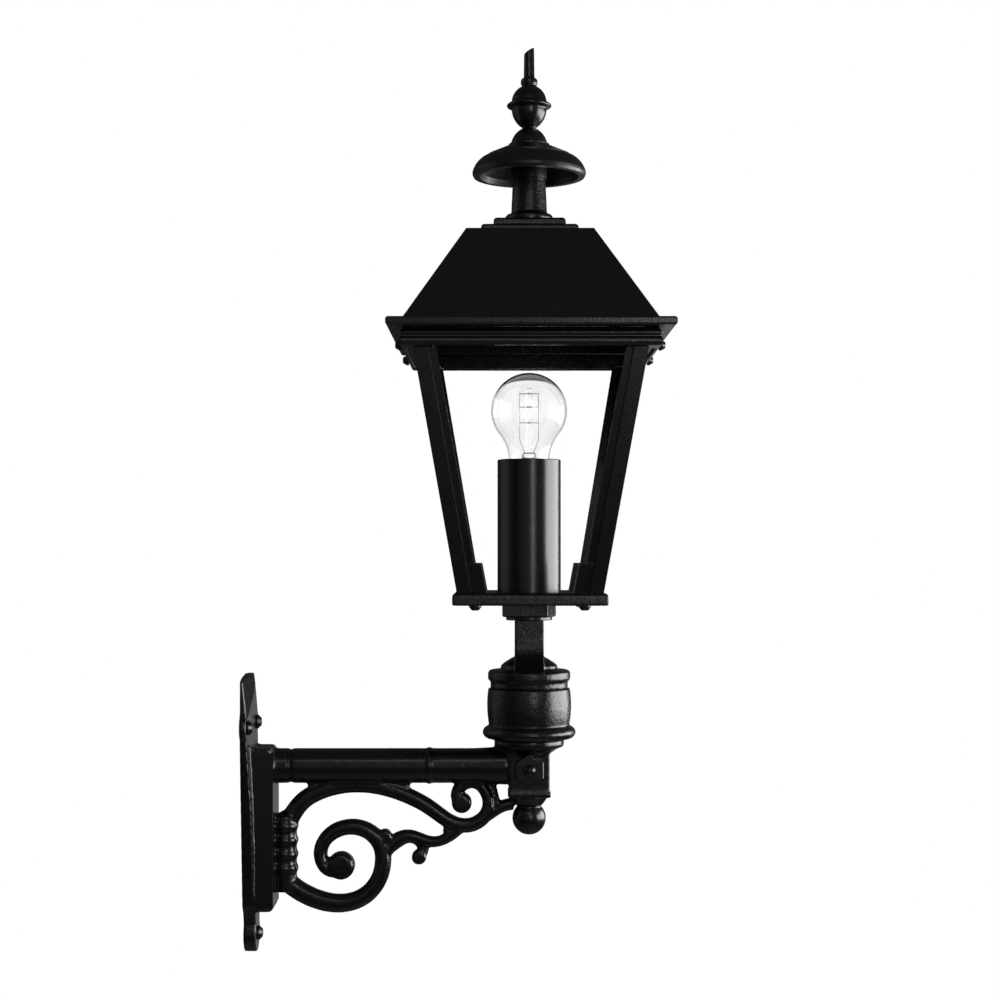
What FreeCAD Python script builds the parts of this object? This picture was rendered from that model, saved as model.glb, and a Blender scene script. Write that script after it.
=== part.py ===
import FreeCAD, Part
import math
import os
import Sketcher
from FreeCAD import Vector

# A wall lamp on a cast scroll bracket: wall plate, arm and scrolls in one casting,
# a round wiring drum on the end of the arm, and a four post lantern with a bulb on a tube.
# X points out from the wall, Z points up. The origin is in the middle of the plate's back face.

doc = FreeCAD.newDocument("wall_lamp")
dim = doc.addObject("Spreadsheet::Sheet", "Dim")

sizes = [
    ("reach", 224.0, "wall to the lamp's axis"),
    ("arm_height", 35.4, "plate centre to the arm's axis"),
    ("arm_radius", 13.7, "radius of the arm"),
    ("plate_thick", 5.2, "wall plate thickness at the upper bolts"),
    ("plate_waist_thick", 8.2, "wall plate thickness at its centre"),
    ("plate_foot_thick", 9.7, "wall plate thickness at the lower bolt"),
    ("crest_thick", 7.7, "thickness of the crest, rolled forward"),
    ("crest_height", 108.5, "top of the crest above the plate centre"),
    ("crest_half", 33.0, "half width of the crest at its back"),
    ("crest_slant", 0.167, "forward rise of a crest facet for each mm towards the middle"),
    ("crest_fall", 0.115, "backward fall of a crest facet for each mm of height"),
    ("crest_foot", 74.0, "height where the crest's side facets begin"),
    ("ear_radius", 12.0, "round ear about an upper wall bolt"),
    ("upper_bolt_half", 26.4, "upper wall bolts, each side of the middle"),
    ("upper_bolt_height", 67.6, "upper wall bolts above the plate centre"),
    ("waist_half", 28.0, "half width of the plate at its centre"),
    ("foot_half", 20.0, "half width of the plate near its foot"),
    ("foot_depth", 72.0, "where the foot's taper ends, below the centre"),
    ("lobe_radius", 14.4, "round lobe about the lower wall bolt"),
    ("lobe_neck", 12.0, "half width of the lobe's neck"),
    ("lower_bolt_depth", 96.6, "lower wall bolt below the plate centre"),
    ("wall_hole", 3.3, "radius of a wall bolt hole"),
    ("wall_bolt_head", 5.6, "wall bolt head radius"),
    ("wall_bolt_rise", 4.0, "wall bolt head height"),
    ("boss_depth", 23.7, "wall to the face of the boss"),
    ("boss_half", 19.0, "half width of the boss"),
    ("boss_over", 15.1, "top of the boss above the arm's axis"),
    ("boss_foot", 77.6, "foot of the boss below the plate centre"),
    ("boss_bevel", 3.2, "bevel round the boss's face"),
    ("collar_length", 10.5, "collar at the root of the arm"),
    ("collar_groove", 1.1, "depth of the groove after the collar"),
    ("bead_at", 120.0, "boss face to the bead on the arm"),
    ("bead_width", 3.2, "width of the bead"),
    ("bead_proud", 0.9, "height of the bead"),
    ("block_half", 16.0, "half width of the socket block"),
    ("block_depth", 23.8, "foot of the block below the arm's axis"),
    ("lip_height", 4.2, "lip round the foot of the block"),
    ("lip_proud", 0.9, "how far the lip stands out"),
    ("seat_radius", 27.5, "round seat on top of the block"),
    ("seat_height", 7.9, "height of the seat's rim"),
    ("seat_over", 21.7, "top of the seat above the arm's axis"),
    ("spigot_radius", 10.0, "spigot of the drum in the block"),
    ("spigot_length", 34.0, "length of the spigot"),
    ("fit_gap", 0.2, "gap round a piece that slides into another"),
    ("scroll_thick", 14.0, "thickness of the great scroll"),
    ("arch_thick", 13.0, "thickness of the arch"),
    ("leaf_thick", 11.0, "thickness of the leaf strand"),
    ("stroke_root", 14.6, "width of a scroll at its root"),
    ("stroke_tip", 9.5, "width of a scroll at its tip"),
    ("binding_radius", 9.2, "bound stems against the boss"),
    ("binding_ring", 1.3, "height of a binding ring"),
    ("great_eye", 10.8, "radius of the great scroll's eye"),
    ("small_eye", 7.9, "radius of the small scroll's eye"),
    ("block_cone", 7.3, "height of the cone under the block"),
    ("block_cone_foot", 10.5, "radius of the cone's foot"),
    ("drop_neck", 9.7, "neck of the ball drop"),
    ("drop_neck_height", 1.2, "height of that neck"),
    ("drop_radius", 13.2, "ball drop"),
    ("clamp_radius", 4.0, "clamp bolt through the block"),
    ("clamp_drop", 1.4, "clamp bolt below the arm's axis"),
    ("clamp_nut_flats", 18.0, "clamp nut across its flats"),
    ("clamp_nut_height", 7.0, "clamp nut height"),
    ("clamp_head", 8.6, "radius of the clamp bolt's head"),
    ("flange_radius", 36.8, "flange under the drum"),
    ("flange_height", 9.9, "height of the flange"),
    ("drum_radius", 32.8, "wiring drum"),
    ("drum_height", 29.6, "drum above its flange"),
    ("drum_wall", 4.0, "wall of the drum"),
    ("drum_floor", 6.0, "floor of the drum"),
    ("wire_bore", 5.0, "way for the wires"),
    ("groove_radius", 30.5, "groove under the drum cover's ring"),
    ("groove_height", 5.8, "height of the groove"),
    ("ring_radius", 32.5, "ring round the drum cover"),
    ("ring_height", 8.8, "height of that ring"),
    ("dome_radius", 22.6, "dome on the drum cover"),
    ("dome_height", 9.6, "height of the dome"),
    ("stem_width", 22.7, "width of the stem"),
    ("stem_height", 39.1, "stem above the cover's ring"),
    ("stem_depth_top", 13.5, "half depth of the stem at its top"),
    ("stem_depth_foot", 30.0, "half depth of the stem at its foot"),
    ("conduit_radius", 8.0, "threaded tube up through the stem"),
    ("washer_radius", 18.2, "washer under the lock nut"),
    ("washer_height", 2.4, "washer thickness"),
    ("lock_nut_flats", 37.7, "lock nut across its flats"),
    ("lock_nut_height", 10.5, "lock nut height"),
    ("back_nut_flats", 27.0, "nut inside the lamp tube, across its flats"),
    ("back_nut_height", 6.0, "height of that nut"),
    ("base_half", 59.4, "half width of the lantern's base plate"),
    ("base_thick", 9.6, "base plate thickness"),
    ("base_round", 3.0, "round on the base plate's upper edge"),
    ("foot_bolt_half", 42.0, "foot bolts from the lamp's axis"),
    ("foot_bolt_radius", 2.5, "foot bolt shank"),
    ("foot_bolt_head", 4.8, "foot bolt head radius"),
    ("foot_bolt_drop", 4.0, "foot bolt head height"),
    ("foot_bolt_bite", 12.0, "foot bolt in the post"),
    ("post_foot_out", 55.9, "outer corner of a post at the base plate"),
    ("post_height", 183.8, "base plate to the top rail"),
    ("post_bar", 11.0, "outer bar of a post"),
    ("post_rib", 6.0, "glazing rib beside the bar"),
    ("post_setback", 4.0, "glazing rib behind the bar's face"),
    ("post_rib_thick", 3.5, "thickness of the glazing rib"),
    ("foot_inner", 33.2, "inner face of a post's foot, at the base plate"),
    ("foot_slope", 4.2, "how far that face leans out over the foot's height"),
    ("foot_height", 22.3, "height of a post's foot"),
    ("rail_half", 96.0, "outer half width of the top rail"),
    ("post_inset", 8.4, "outer corner of a post in from the rail's face"),
    ("rail_wall", 3.0, "wall of the top rail"),
    ("rail_height", 14.0, "height of the top rail"),
    ("rail_bead", 1.6, "how far the rail's lower bead stands out"),
    ("rail_bead_height", 6.8, "height of the lower bead"),
    ("rail_groove", 0.4, "how far the grooves between the beads are cut in"),
    ("rail_upper_bead", 1.0, "how far the upper bead stands out"),
    ("rail_upper_bead_height", 4.2, "height of the upper bead"),
    ("corner_plate", 24.0, "corner plate inside the rail"),
    ("corner_thick", 3.0, "corner plate thickness"),
    ("corner_screw_radius", 2.0, "corner screw shank"),
    ("corner_screw_head", 3.6, "corner screw head radius"),
    ("corner_screw_rise", 2.4, "corner screw head height"),
    ("corner_screw_bite", 8.0, "corner screw in the post"),
    ("rim_overhang", 11.0, "how far the roof rim stands out past the rail"),
    ("rim_ledge", 10.0, "how far the rim reaches in past the rail's face"),
    ("rim_thick", 6.2, "roof rim thickness"),
    ("tab_depth", 12.0, "side tabs of the rim inside the rail"),
    ("tab_thick", 3.0, "side tab thickness"),
    ("tab_half", 64.0, "half length of a side tab"),
    ("side_bolt_half", 54.6, "side bolts each side of the middle"),
    ("side_bolt_height", 4.6, "side bolts above the rail's foot"),
    ("side_bolt_head", 4.2, "side bolt head radius"),
    ("side_bolt_rise", 5.0, "side bolt head height"),
    ("side_bolt_radius", 2.5, "side bolt shank"),
    ("roof_inset", 11.4, "foot of the roof in from the rim's edge"),
    ("roof_top_half", 48.8, "half width of the roof at its top"),
    ("roof_height", 74.7, "height of the roof"),
    ("roof_sheet", 2.0, "roof sheet thickness"),
    ("crown_low_half", 37.6, "lower step of the crown"),
    ("crown_low_height", 5.5, "height of the lower step"),
    ("crown_high_half", 28.0, "upper step of the crown"),
    ("crown_high_height", 6.5, "height of the upper step"),
    ("crown_edge", 1.4, "chamfer on the crown's steps"),
    ("torus_radius", 19.0, "ring at the foot of the chimney"),
    ("torus_height", 6.6, "height of that ring"),
    ("chimney_foot", 14.2, "chimney radius at its foot"),
    ("chimney_top", 13.0, "chimney radius at its top"),
    ("chimney_height", 42.0, "chimney above its ring"),
    ("chimney_bore", 9.5, "bore of the chimney"),
    ("cap_overlap", 12.0, "how far the cap comes down over the chimney"),
    ("cap_radius", 44.8, "rim of the chimney cap"),
    ("cap_mouth", 39.0, "opening in the cap"),
    ("cap_skirt_top", 37.0, "top of the cap's skirt"),
    ("cap_skirt_height", 14.6, "height of the cap's skirt"),
    ("cap_cone_foot", 33.0, "foot of the cap's cone"),
    ("cap_cone_rise", 7.6, "height of the cap's cone"),
    ("cap_bell", 16.0, "foot of the cap's bell"),
    ("cap_bell_height", 13.4, "height of the bell"),
    ("cap_socket", 14.0, "socket of the cap round the chimney's end"),
    ("cap_socket_drop", 1.2, "how far the socket hangs below the cap's rim"),
    ("finial_neck", 5.4, "neck of the finial"),
    ("finial_cup", 13.8, "cup of the finial, at the brim"),
    ("finial_cup_height", 15.0, "height of the cup"),
    ("finial_brim", 17.6, "brim round the cup"),
    ("finial_brim_height", 5.4, "height of the brim"),
    ("finial_dome_height", 12.0, "dome over the brim"),
    ("finial_collar", 6.6, "collar over the dome"),
    ("finial_spike", 4.3, "spike of the finial"),
    ("finial_spike_height", 25.0, "height of the spike"),
    ("tube_radius", 25.0, "lamp tube"),
    ("tube_wall", 1.5, "lamp tube wall"),
    ("tube_height", 104.0, "lamp tube height"),
    ("holder_height", 42.0, "lampholder height"),
    ("holder_radius", 18.0, "lampholder body"),
    ("holder_bore", 13.6, "lampholder bore"),
    ("bulb_radius", 30.0, "globe of the bulb"),
    ("bulb_rise", 38.6, "globe centre above the tube's mouth"),
    ("bulb_neck", 16.5, "neck of the bulb at the tube's mouth"),
    ("bulb_wall", 0.9, "glass thickness"),
    ("bulb_sunk", 12.0, "foot of the glass below the tube's mouth"),
    ("screw_cap_radius", 13.2, "screw cap of the bulb"),
    ("screw_cap_height", 24.0, "screw cap height"),
    ("filament_ring", 8.0, "filaments from the bulb's axis"),
    ("filament_low", 22.5, "ends of the leads below the globe's centre"),
    ("filament_high", 14.0, "upper hooks above the globe's centre"),
    ("filament_wire", 0.25, "radius of a filament"),
    ("filament_arm", 0.3, "radius of a lead or a hook wire"),
    ("stem_press", 5.6, "radius of the glass stem inside the bulb"),
    ("stem_press_height", 17.6, "height of that stem"),
    ("rod_radius", 2.2, "glass rod that carries the hooks"),
    ("rod_top", 18.6, "top of the rod above the globe's centre"),
]

for row, (alias, value, note) in enumerate(sizes, 1):
    dim.set(f"A{row}", note)
    dim.set(f"B{row}", str(value))
    dim.setAlias(f"B{row}", alias)
doc.recompute()


def number(text):
    """The value of an expression in the sheet's sizes."""
    found = dim.evalExpression(str(text))
    return float(getattr(found, "Value", found))


def bind(thing, prop, text):
    thing.setExpression(prop, str(text))


def place(thing, across, side, up):
    bind(thing, "Placement.Base.x", across)
    bind(thing, "Placement.Base.y", side)
    bind(thing, "Placement.Base.z", up)


def body(name):
    made = doc.addObject("PartDesign::Body", name)
    made.Label = name
    return made


def origin_plane(owner, role):
    return next(f for f in owner.Origin.OriginFeatures if f.Role == role)


def arc_centre(start, end, radius, turn, large):
    """Centre of the arc from start to end, turning left (1) or right (-1)."""
    chord = end - start
    half = chord.Length / 2
    reach = math.sqrt(max(radius * radius - half * half, 0.0))
    left = Vector(-chord.y, chord.x, 0).normalize()
    side = -turn if large else turn
    return start + chord * 0.5 + left * (reach * side)


def outline(sketch, corners):
    """A closed outline. A corner is (across, up), and a third item, (radius, turn, large),
    makes the way to the next corner an arc. Every corner and radius is bound to the sheet."""
    points = [Vector(number(c[0]), number(c[1]), 0) for c in corners]
    count = len(corners)
    ends = []
    for i, corner in enumerate(corners):
        start, end = points[i], points[(i + 1) % count]
        if len(corner) == 2:
            ends.append((sketch.addGeometry(Part.LineSegment(start, end)), 1, 2))
            continue
        radius, turn, large = corner[2]
        middle = arc_centre(start, end, number(radius), turn, large)
        first, last = (start, end) if turn > 0 else (end, start)
        a0 = math.atan2(first.y - middle.y, first.x - middle.x)
        a1 = math.atan2(last.y - middle.y, last.x - middle.x)
        circle = Part.Circle(middle, Vector(0, 0, 1), number(radius))
        line = sketch.addGeometry(Part.ArcOfCircle(circle, a0, a1))
        ends.append((line, 1, 2) if turn > 0 else (line, 2, 1))
        ruled = sketch.addConstraint(Sketcher.Constraint("Radius", line, number(radius)))
        bind(sketch, f"Constraints[{ruled}]", radius)
    for i, (line, head, tail) in enumerate(ends):
        after = ends[(i + 1) % count]
        sketch.addConstraint(Sketcher.Constraint("Coincident", line, tail, after[0], after[1]))
        for kind, text, value in (("DistanceX", corners[i][0], points[i].x),
                                  ("DistanceY", corners[i][1], points[i].y)):
            held = sketch.addConstraint(Sketcher.Constraint(kind, line, head, value))
            if "Dim." in str(text):
                bind(sketch, f"Constraints[{held}]", text)


def sketch_on(owner, role, corners, lift=None):
    drawn = owner.newObject("Sketcher::SketchObject", owner.Name + "_sketch")
    drawn.AttachmentSupport = [(origin_plane(owner, role), "")]
    drawn.MapMode = "FlatFace"
    if lift is not None:
        bind(drawn, "AttachmentOffset.Base.z", lift)
    doc.recompute()
    outline(drawn, corners)
    return drawn


def pad(owner, drawn, length, both=False, back=False):
    made = owner.newObject("PartDesign::Pad", owner.Name + "_pad")
    made.Profile = drawn
    bind(made, "Length", length)
    made.Midplane = both
    made.Reversed = back
    return made


def pocket(owner, drawn, length, both=False, back=False, through=False):
    made = owner.newObject("PartDesign::Pocket", owner.Name + "_pocket")
    made.Profile = drawn
    made.Midplane = both
    made.Reversed = back
    if through:
        made.Type = "ThroughAll"
    else:
        bind(made, "Length", length)
    return made


def revolved(owner, corners):
    """A turned piece about the body's Z axis, drawn as radius and height."""
    drawn = sketch_on(owner, "XZ_Plane", corners)
    made = owner.newObject("PartDesign::Revolution", owner.Name + "_turned")
    made.Profile = drawn
    made.ReferenceAxis = (drawn, ["V_Axis"])
    made.Angle = 360
    return made


def turned(name, corners, up, across="Dim.reach"):
    made = body(name)
    revolved(made, corners)
    place(made, across, 0, up)
    return made


def rectangle(left, right, low, high):
    return [(left, low), (right, low), (right, high), (left, high)]


def square(half):
    return rectangle(f"-({half})", half, f"-({half})", half)


def part_cylinder(name, radius, height, axis, base):
    made = doc.addObject("Part::Cylinder", name)
    bind(made, "Radius", radius)
    bind(made, "Height", height)
    made.Placement.Rotation = FreeCAD.Rotation(Vector(0, 0, 1), axis)
    place(made, *base)
    return made


def part_box(name, low, high):
    made = doc.addObject("Part::Box", name)
    for prop, a, b in zip(("Length", "Width", "Height"), low, high):
        bind(made, prop, f"({b}) - ({a})")
    place(made, *low)
    return made


def fused(name, pieces):
    made = doc.addObject("Part::MultiFuse", name)
    made.Shapes = pieces
    made.Refine = True
    return made


def cut(name, base, tool):
    made = doc.addObject("Part::Cut", name)
    made.Base = base
    made.Tool = tool
    made.Refine = True
    return made


# heights up the lamp's axis, each standing on the one below
seat_top = "(Dim.arm_height + Dim.seat_over)"
drum_top = f"({seat_top} + Dim.flange_height + Dim.drum_height)"
ring_top = f"({drum_top} + Dim.groove_height + Dim.ring_height)"
stem_top = f"({ring_top} + Dim.stem_height)"
nut_foot = f"({stem_top} + Dim.washer_height)"
base_foot = f"({nut_foot} + Dim.lock_nut_height)"
base_top = f"({base_foot} + Dim.base_thick)"
rail_foot = f"({base_top} + Dim.post_height)"
rim_foot = f"({rail_foot} + Dim.rail_height)"
roof_foot = f"({rim_foot} + Dim.rim_thick)"
crown_foot = f"({roof_foot} + Dim.roof_height)"
crown_height = "(Dim.crown_low_height + Dim.crown_high_height)"
chimney_end = f"({crown_foot} + {crown_height} + Dim.torus_height + Dim.chimney_height)"
cap_foot = f"({chimney_end} - Dim.cap_overlap)"
cap_height = "(Dim.cap_skirt_height + 2.4 + Dim.cap_cone_rise + Dim.cap_bell_height)"
tube_top = f"({base_top} + Dim.tube_height)"
holder_foot = f"({tube_top} - Dim.holder_height)"
glass_foot = f"({tube_top} - Dim.bulb_sunk)"
block_foot = "(Dim.arm_height - Dim.block_depth - Dim.block_cone)"

# half widths of the lantern's top, all taken from the rail
post_top_out = "(Dim.rail_half - Dim.post_inset)"
post_top_middle = f"({post_top_out} - 0.5 * Dim.post_bar)"
rim_half = "(Dim.rail_half + Dim.rim_overhang)"
rim_opening = "(Dim.rail_half - Dim.rim_ledge)"
roof_half = f"({rim_half} - Dim.roof_inset)"


# bracket arm: wall plate with its boss

def wall_plate():
    lobe_rise = "sqrt(Dim.lobe_radius ^ 2 - Dim.lobe_neck ^ 2)"
    neck_z = f"-Dim.lower_bolt_depth + {lobe_rise}"
    ear_low = ("Dim.upper_bolt_half + Dim.ear_radius * cos(50deg)",
               "Dim.upper_bolt_height - Dim.ear_radius * sin(50deg)")
    ear_high = ("Dim.upper_bolt_half + Dim.ear_radius * cos(35deg)",
                "Dim.upper_bolt_height + Dim.ear_radius * sin(35deg)")
    crest_side = "Dim.crest_height - (4 - sqrt(15)) * Dim.crest_half"
    right = [
        ("Dim.lobe_neck", neck_z, ("30", -1, False)),
        ("Dim.foot_half", "-Dim.foot_depth"),
        ("Dim.waist_half", "0"),
        (*ear_low, ("Dim.ear_radius", 1, False)),
        ear_high,
        ("Dim.crest_half", "Dim.upper_bolt_height + Dim.ear_radius"),
        ("Dim.crest_half", crest_side, ("4 * Dim.crest_half", 1, False)),
    ]
    left = [("-Dim.crest_half", crest_side),
            ("-Dim.crest_half", "Dim.upper_bolt_height + Dim.ear_radius"),
            (f"-({ear_high[0]})", ear_high[1], ("Dim.ear_radius", 1, False)),
            (f"-({ear_low[0]})", ear_low[1]),
            ("-Dim.waist_half", "0"),
            ("-Dim.foot_half", "-Dim.foot_depth", ("30", -1, False)),
            ("-Dim.lobe_neck", neck_z, ("Dim.lobe_radius", 1, True))]
    made = body("plate_blank")
    thickest = "(max(Dim.plate_foot_thick; Dim.crest_thick) + 1)"
    pad(made, sketch_on(made, "YZ_Plane", right + left), thickest)
    above = "Dim.crest_height + 1"
    below = "-Dim.lower_bolt_depth - Dim.lobe_radius - 1"
    front = sketch_on(made, "XZ_Plane", [
        (f"{thickest} + 2", below), (f"{thickest} + 2", above), ("Dim.crest_thick", above),
        ("Dim.crest_thick", "Dim.crest_foot + 20"),
        ("Dim.plate_thick + 0.6", "Dim.crest_foot + 1"),
        ("Dim.plate_thick", "Dim.crest_foot"),
        ("Dim.plate_thick", "Dim.upper_bolt_height - 7"),
        ("Dim.plate_waist_thick", "0"),
        ("Dim.plate_foot_thick", "-Dim.lower_bolt_depth + 8"),
        ("Dim.plate_foot_thick", below)])
    pocket(made, front, "4 * Dim.waist_half", both=True)
    for side in (-1, 1):
        bevel_crest(made, side)
    return made


def bevel_crest(made, side):
    """Cuts the flat slanting facet that narrows the crest's front towards its top."""
    out = f"{side} * (Dim.upper_bolt_half + 2 * Dim.ear_radius)"
    front = "(Dim.crest_thick + 3)"
    sections = []
    for level in ("Dim.crest_foot", "Dim.crest_height + 2"):
        back = f"(Dim.plate_thick + 0.1 - Dim.crest_fall * ({level} - Dim.crest_foot))"
        ridge = f"{side} * (Dim.crest_half - ({front} - {back}) / Dim.crest_slant)"
        corners = [(back, f"{side} * Dim.crest_half"), (front, ridge), (front, out), (back, out)]
        sections.append(sketch_on(made, "XY_Plane", corners[::side], level))
    facet = made.newObject("PartDesign::SubtractiveLoft", "crest_facet")
    facet.Profile = sections[0]
    facet.Sections = sections[1:]
    facet.Ruled = True


def boss():
    """The pad that carries the arm, with a coved top and a bevelled face."""
    made = body("boss_blank")
    top = "Dim.arm_height + Dim.boss_over"
    cove = "5"
    corners = [
        ("0", "-Dim.boss_foot"),
        ("Dim.boss_depth - 4", "-Dim.boss_foot", ("4", 1, False)),
        ("Dim.boss_depth", "-Dim.boss_foot + 4"),
        ("Dim.boss_depth", f"{top} - Dim.boss_bevel"),
        ("Dim.boss_depth - Dim.boss_bevel", top),
        (f"Dim.plate_thick + {cove}", top, (cove, -1, False)),
        ("Dim.plate_thick", f"{top} + {cove}"),
        ("0", f"{top} + {cove}"),
    ]
    block = pad(made, sketch_on(made, "XZ_Plane", corners), "2 * Dim.boss_half", both=True)
    doc.recompute()
    face_x = number("Dim.boss_depth")
    low, high = number("-Dim.boss_foot + 4"), number(f"{top} - Dim.boss_bevel")
    named = []
    for i, edge in enumerate(block.Shape.Edges, 1):
        ends = [v.Point for v in edge.Vertexes]
        flat = all(abs(p.x - face_x) < 1e-6 for p in ends)
        tall = abs(abs(ends[0].z - ends[-1].z) - (high - low)) < 1e-6
        if flat and tall:
            named.append(f"Edge{i}")
    bevel = made.newObject("PartDesign::Chamfer", "boss_bevel")
    bevel.Base = (block, named)
    bind(bevel, "Size", "Dim.boss_bevel")
    return made


def arm():
    """The round arm, with a collar at its root and a bead two fifths of the way out."""
    made = body("arm_blank")
    root = "Dim.boss_depth - 8"
    collar = "(Dim.boss_depth + Dim.collar_length)"
    bead = "(Dim.boss_depth + Dim.bead_at)"
    r = "Dim.arm_radius"
    low = f"{r} - Dim.collar_groove"
    proud = f"{r} + Dim.bead_proud"
    end = "(Dim.reach - Dim.block_half + 2)"
    corners = [
        (root, "0"), (end, "0"), (end, f"{r} - 1"), (f"{end} - 4", f"{r} + 1.4"),
        (f"{end} - 30", r),
        (f"{bead} + Dim.bead_width", r), (f"{bead} + Dim.bead_width - 0.8", proud),
        (f"{bead} + 0.8", proud), (bead, r),
        (f"{collar} + 4", r), (f"{collar} + 2", low), (f"{collar} + 1", low),
        (collar, r), (root, r),
    ]
    drawn = sketch_on(made, "XZ_Plane", corners)
    spun = made.newObject("PartDesign::Revolution", "arm_turned")
    spun.Profile = drawn
    spun.ReferenceAxis = (drawn, ["H_Axis"])
    spun.Angle = 360
    place(made, 0, 0, "Dim.arm_height")
    return made


def socket_block():
    """The square block on the end of the arm, its lip, and the round seat on top."""
    low = "Dim.arm_height - Dim.block_depth"
    half = "Dim.block_half"
    wide = "(Dim.block_half + Dim.lip_proud)"
    trunk = part_box("block_trunk", (f"Dim.reach - {half}", f"-{half}", low),
                     (f"Dim.reach + {half}", half, f"{seat_top} - 2"))
    lip = part_box("block_lip", (f"Dim.reach - {wide}", f"-{wide}", low),
                   (f"Dim.reach + {wide}", wide, f"{low} + Dim.lip_height"))
    seat = turned("seat_blank", [
        ("0", "-Dim.seat_height - 3.5"), ("Dim.block_half + 1.5", "-Dim.seat_height - 3.5"),
        ("Dim.seat_radius - 5", "-Dim.seat_height"), ("Dim.seat_radius", "-Dim.seat_height + 2"),
        ("Dim.seat_radius", "0"), ("0", "0"),
    ], seat_top)
    under = turned("block_cone_blank", [
        ("0", "-Dim.block_cone"), ("Dim.block_cone_foot", "-Dim.block_cone"),
        ("Dim.block_half - 0.5", "0"), ("Dim.block_half - 0.5", "1"), ("0", "1")], low)
    return [trunk, lip, seat, under]


# bracket arm: the scrolls under the arm

def near(out, drop):
    """A point by its distance out from the boss and down from the arm's axis."""
    return Vector(number("Dim.boss_depth") + out, 0, number("Dim.arm_height") - drop)


def far(short, drop):
    """A point by its distance short of the socket block and down from the arm's axis."""
    return Vector(number("Dim.reach - Dim.block_half") - short, 0, number("Dim.arm_height") - drop)


def scroll(points, widths, thickness, stations):
    """One stroke of the casting: a bar that follows the points, with bevelled sides.
    Its width runs through the given widths from end to end."""
    levels = [(-0.5, 0.42), (-0.26, 1.0), (0.26, 1.0), (0.5, 0.42)]
    centre = Part.BSplineCurve()
    centre.interpolate(points)
    first, last = centre.FirstParameter, centre.LastParameter
    rows = []
    for i in range(stations):
        share = i / (stations - 1)
        at = first + (last - first) * share
        step = share * (len(widths) - 1)
        low = min(int(step), len(widths) - 2)
        width = widths[low] + (widths[low + 1] - widths[low]) * (step - low)
        across = centre.tangent(at)[0].cross(Vector(0, 1, 0))
        rows.append((centre.value(at), across * (width / 2)))
    wires = []
    for level, share in levels:
        lift = Vector(0, level * thickness, 0)
        left = [at + across * share + lift for at, across in rows]
        right = [at - across * share + lift for at, across in reversed(rows)]
        sides = []
        for side in (left, right):
            curve = Part.BSplineCurve()
            curve.interpolate(side)
            sides.append(curve.toShape())
        caps = [Part.LineSegment(left[-1], right[0]).toShape(),
                Part.LineSegment(right[-1], left[0]).toShape()]
        wires.append(Part.Wire([sides[0], caps[0], sides[1], caps[1]]))
    return Part.makeLoft(wires, True, True)


def eye(at, radius, thickness):
    """The round button that a stroke curls into."""
    disc = Part.makeCylinder(radius, thickness, at - Vector(0, thickness / 2, 0), Vector(0, 1, 0))
    rims = [e for e in disc.Edges if len(e.Vertexes) == 1]
    return disc.makeChamfer(min(radius, thickness) * 0.24, rims)


def scrollwork():
    root, tip = number("Dim.stroke_root"), number("Dim.stroke_tip")
    great, arched, leafy = (number(f"Dim.{n}_thick") for n in ("scroll", "arch", "leaf"))
    under = number("Dim.arm_radius")
    foot = number("Dim.arm_height + Dim.boss_foot")
    great_centre = near(51.9, 78.8)
    small_centre = far(37.2, 29.3)
    arch_points = [
        near(4.3, 57.5), near(11.4, 42.3), near(21.7, 28.0), near(36.7, 19.5),
        near(58.8, 14.8), near(82.8, 16.7), near(104.7, 23.9),
        far(59.9, 34.9), far(44.0, 45.5), far(30.7, 47.1), far(20.4, 41.5),
        far(15.7, 30.4), far(18.9, 19.4), far(28.5, under - 1.0), far(38.8, 17.6), far(40.3, 27.3),
    ]
    great_points = [
        near(2.7, foot - 29.5), near(14.2, foot - 17.4), near(28.4, 103.8),
        near(48.5, 108.7), near(66.9, 104.9), near(79.7, 93.1), near(84.9, 77.1),
        near(82.5, 61.3), near(70.4, 50.4), near(56.0, 48.7), near(43.1, 54.4),
        near(35.9, 65.9), near(39.1, 79.8), near(48.9, 83.4),
    ]
    strand_points = [
        near(85.7, 72.3), near(92.0, 63.0), near(102.3, 56.2), near(112.9, 57.2),
        far(59.5, 60.4), far(48.8, 56.9), far(40.0, 50.0),
    ]
    hook_points = [near(103.4, 56.3), near(111.4, 57.5), near(116.3, 63.6), near(113.8, 70.7)]
    foot_points = [far(25.9, 44.4), far(16.5, 39.0), far(7.8, 33.4), far(-4.0, 30.4)]
    great_widths = [root * 1.04, root, root * 0.9, root * 0.88, tip * 1.22, tip]
    arch_widths = [root, root * 0.93, root * 0.86, root * 0.8, tip * 1.08, tip]
    webs = [
        scroll([near(88, under), near(97, under + 1.6), near(106, under + 3.2)],
               [tip * 0.5, tip * 0.75], great - 5.2, 4),
        scroll([far(13.6, under), far(11.6, 20.0), far(9.2, 29.5)], [tip * 0.6, tip * 0.5], great - 5.6, 4),
        eye(far(48.6, 51.0), tip * 0.36, great - 4.4),
        eye(near(29.0, under + 1.6), tip * 0.34, great - 4.7),
    ]
    return [
        scroll(arch_points, arch_widths, arched, 22),
        scroll(great_points, great_widths, great, 20),
        scroll(strand_points, [tip * 0.8, tip * 1.25, tip * 0.95, tip * 0.85, tip], leafy, 9),
        scroll(hook_points, [tip * 1.1, tip, tip * 0.9], leafy - 1.0, 5),
        scroll(foot_points, [tip, tip, tip * 0.95, tip], arched - 1.6, 5),
        eye(great_centre, number("Dim.great_eye"), great + 1.2),
        eye(small_centre, number("Dim.small_eye"), arched + 1.0),
        eye(near(113.4, 72.1), number("Dim.small_eye") * 0.73, leafy + 0.6),
        eye(near(86.4, 55.4), number("Dim.small_eye") * 0.66, leafy + 1.8),
        *webs,
    ]


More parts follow.
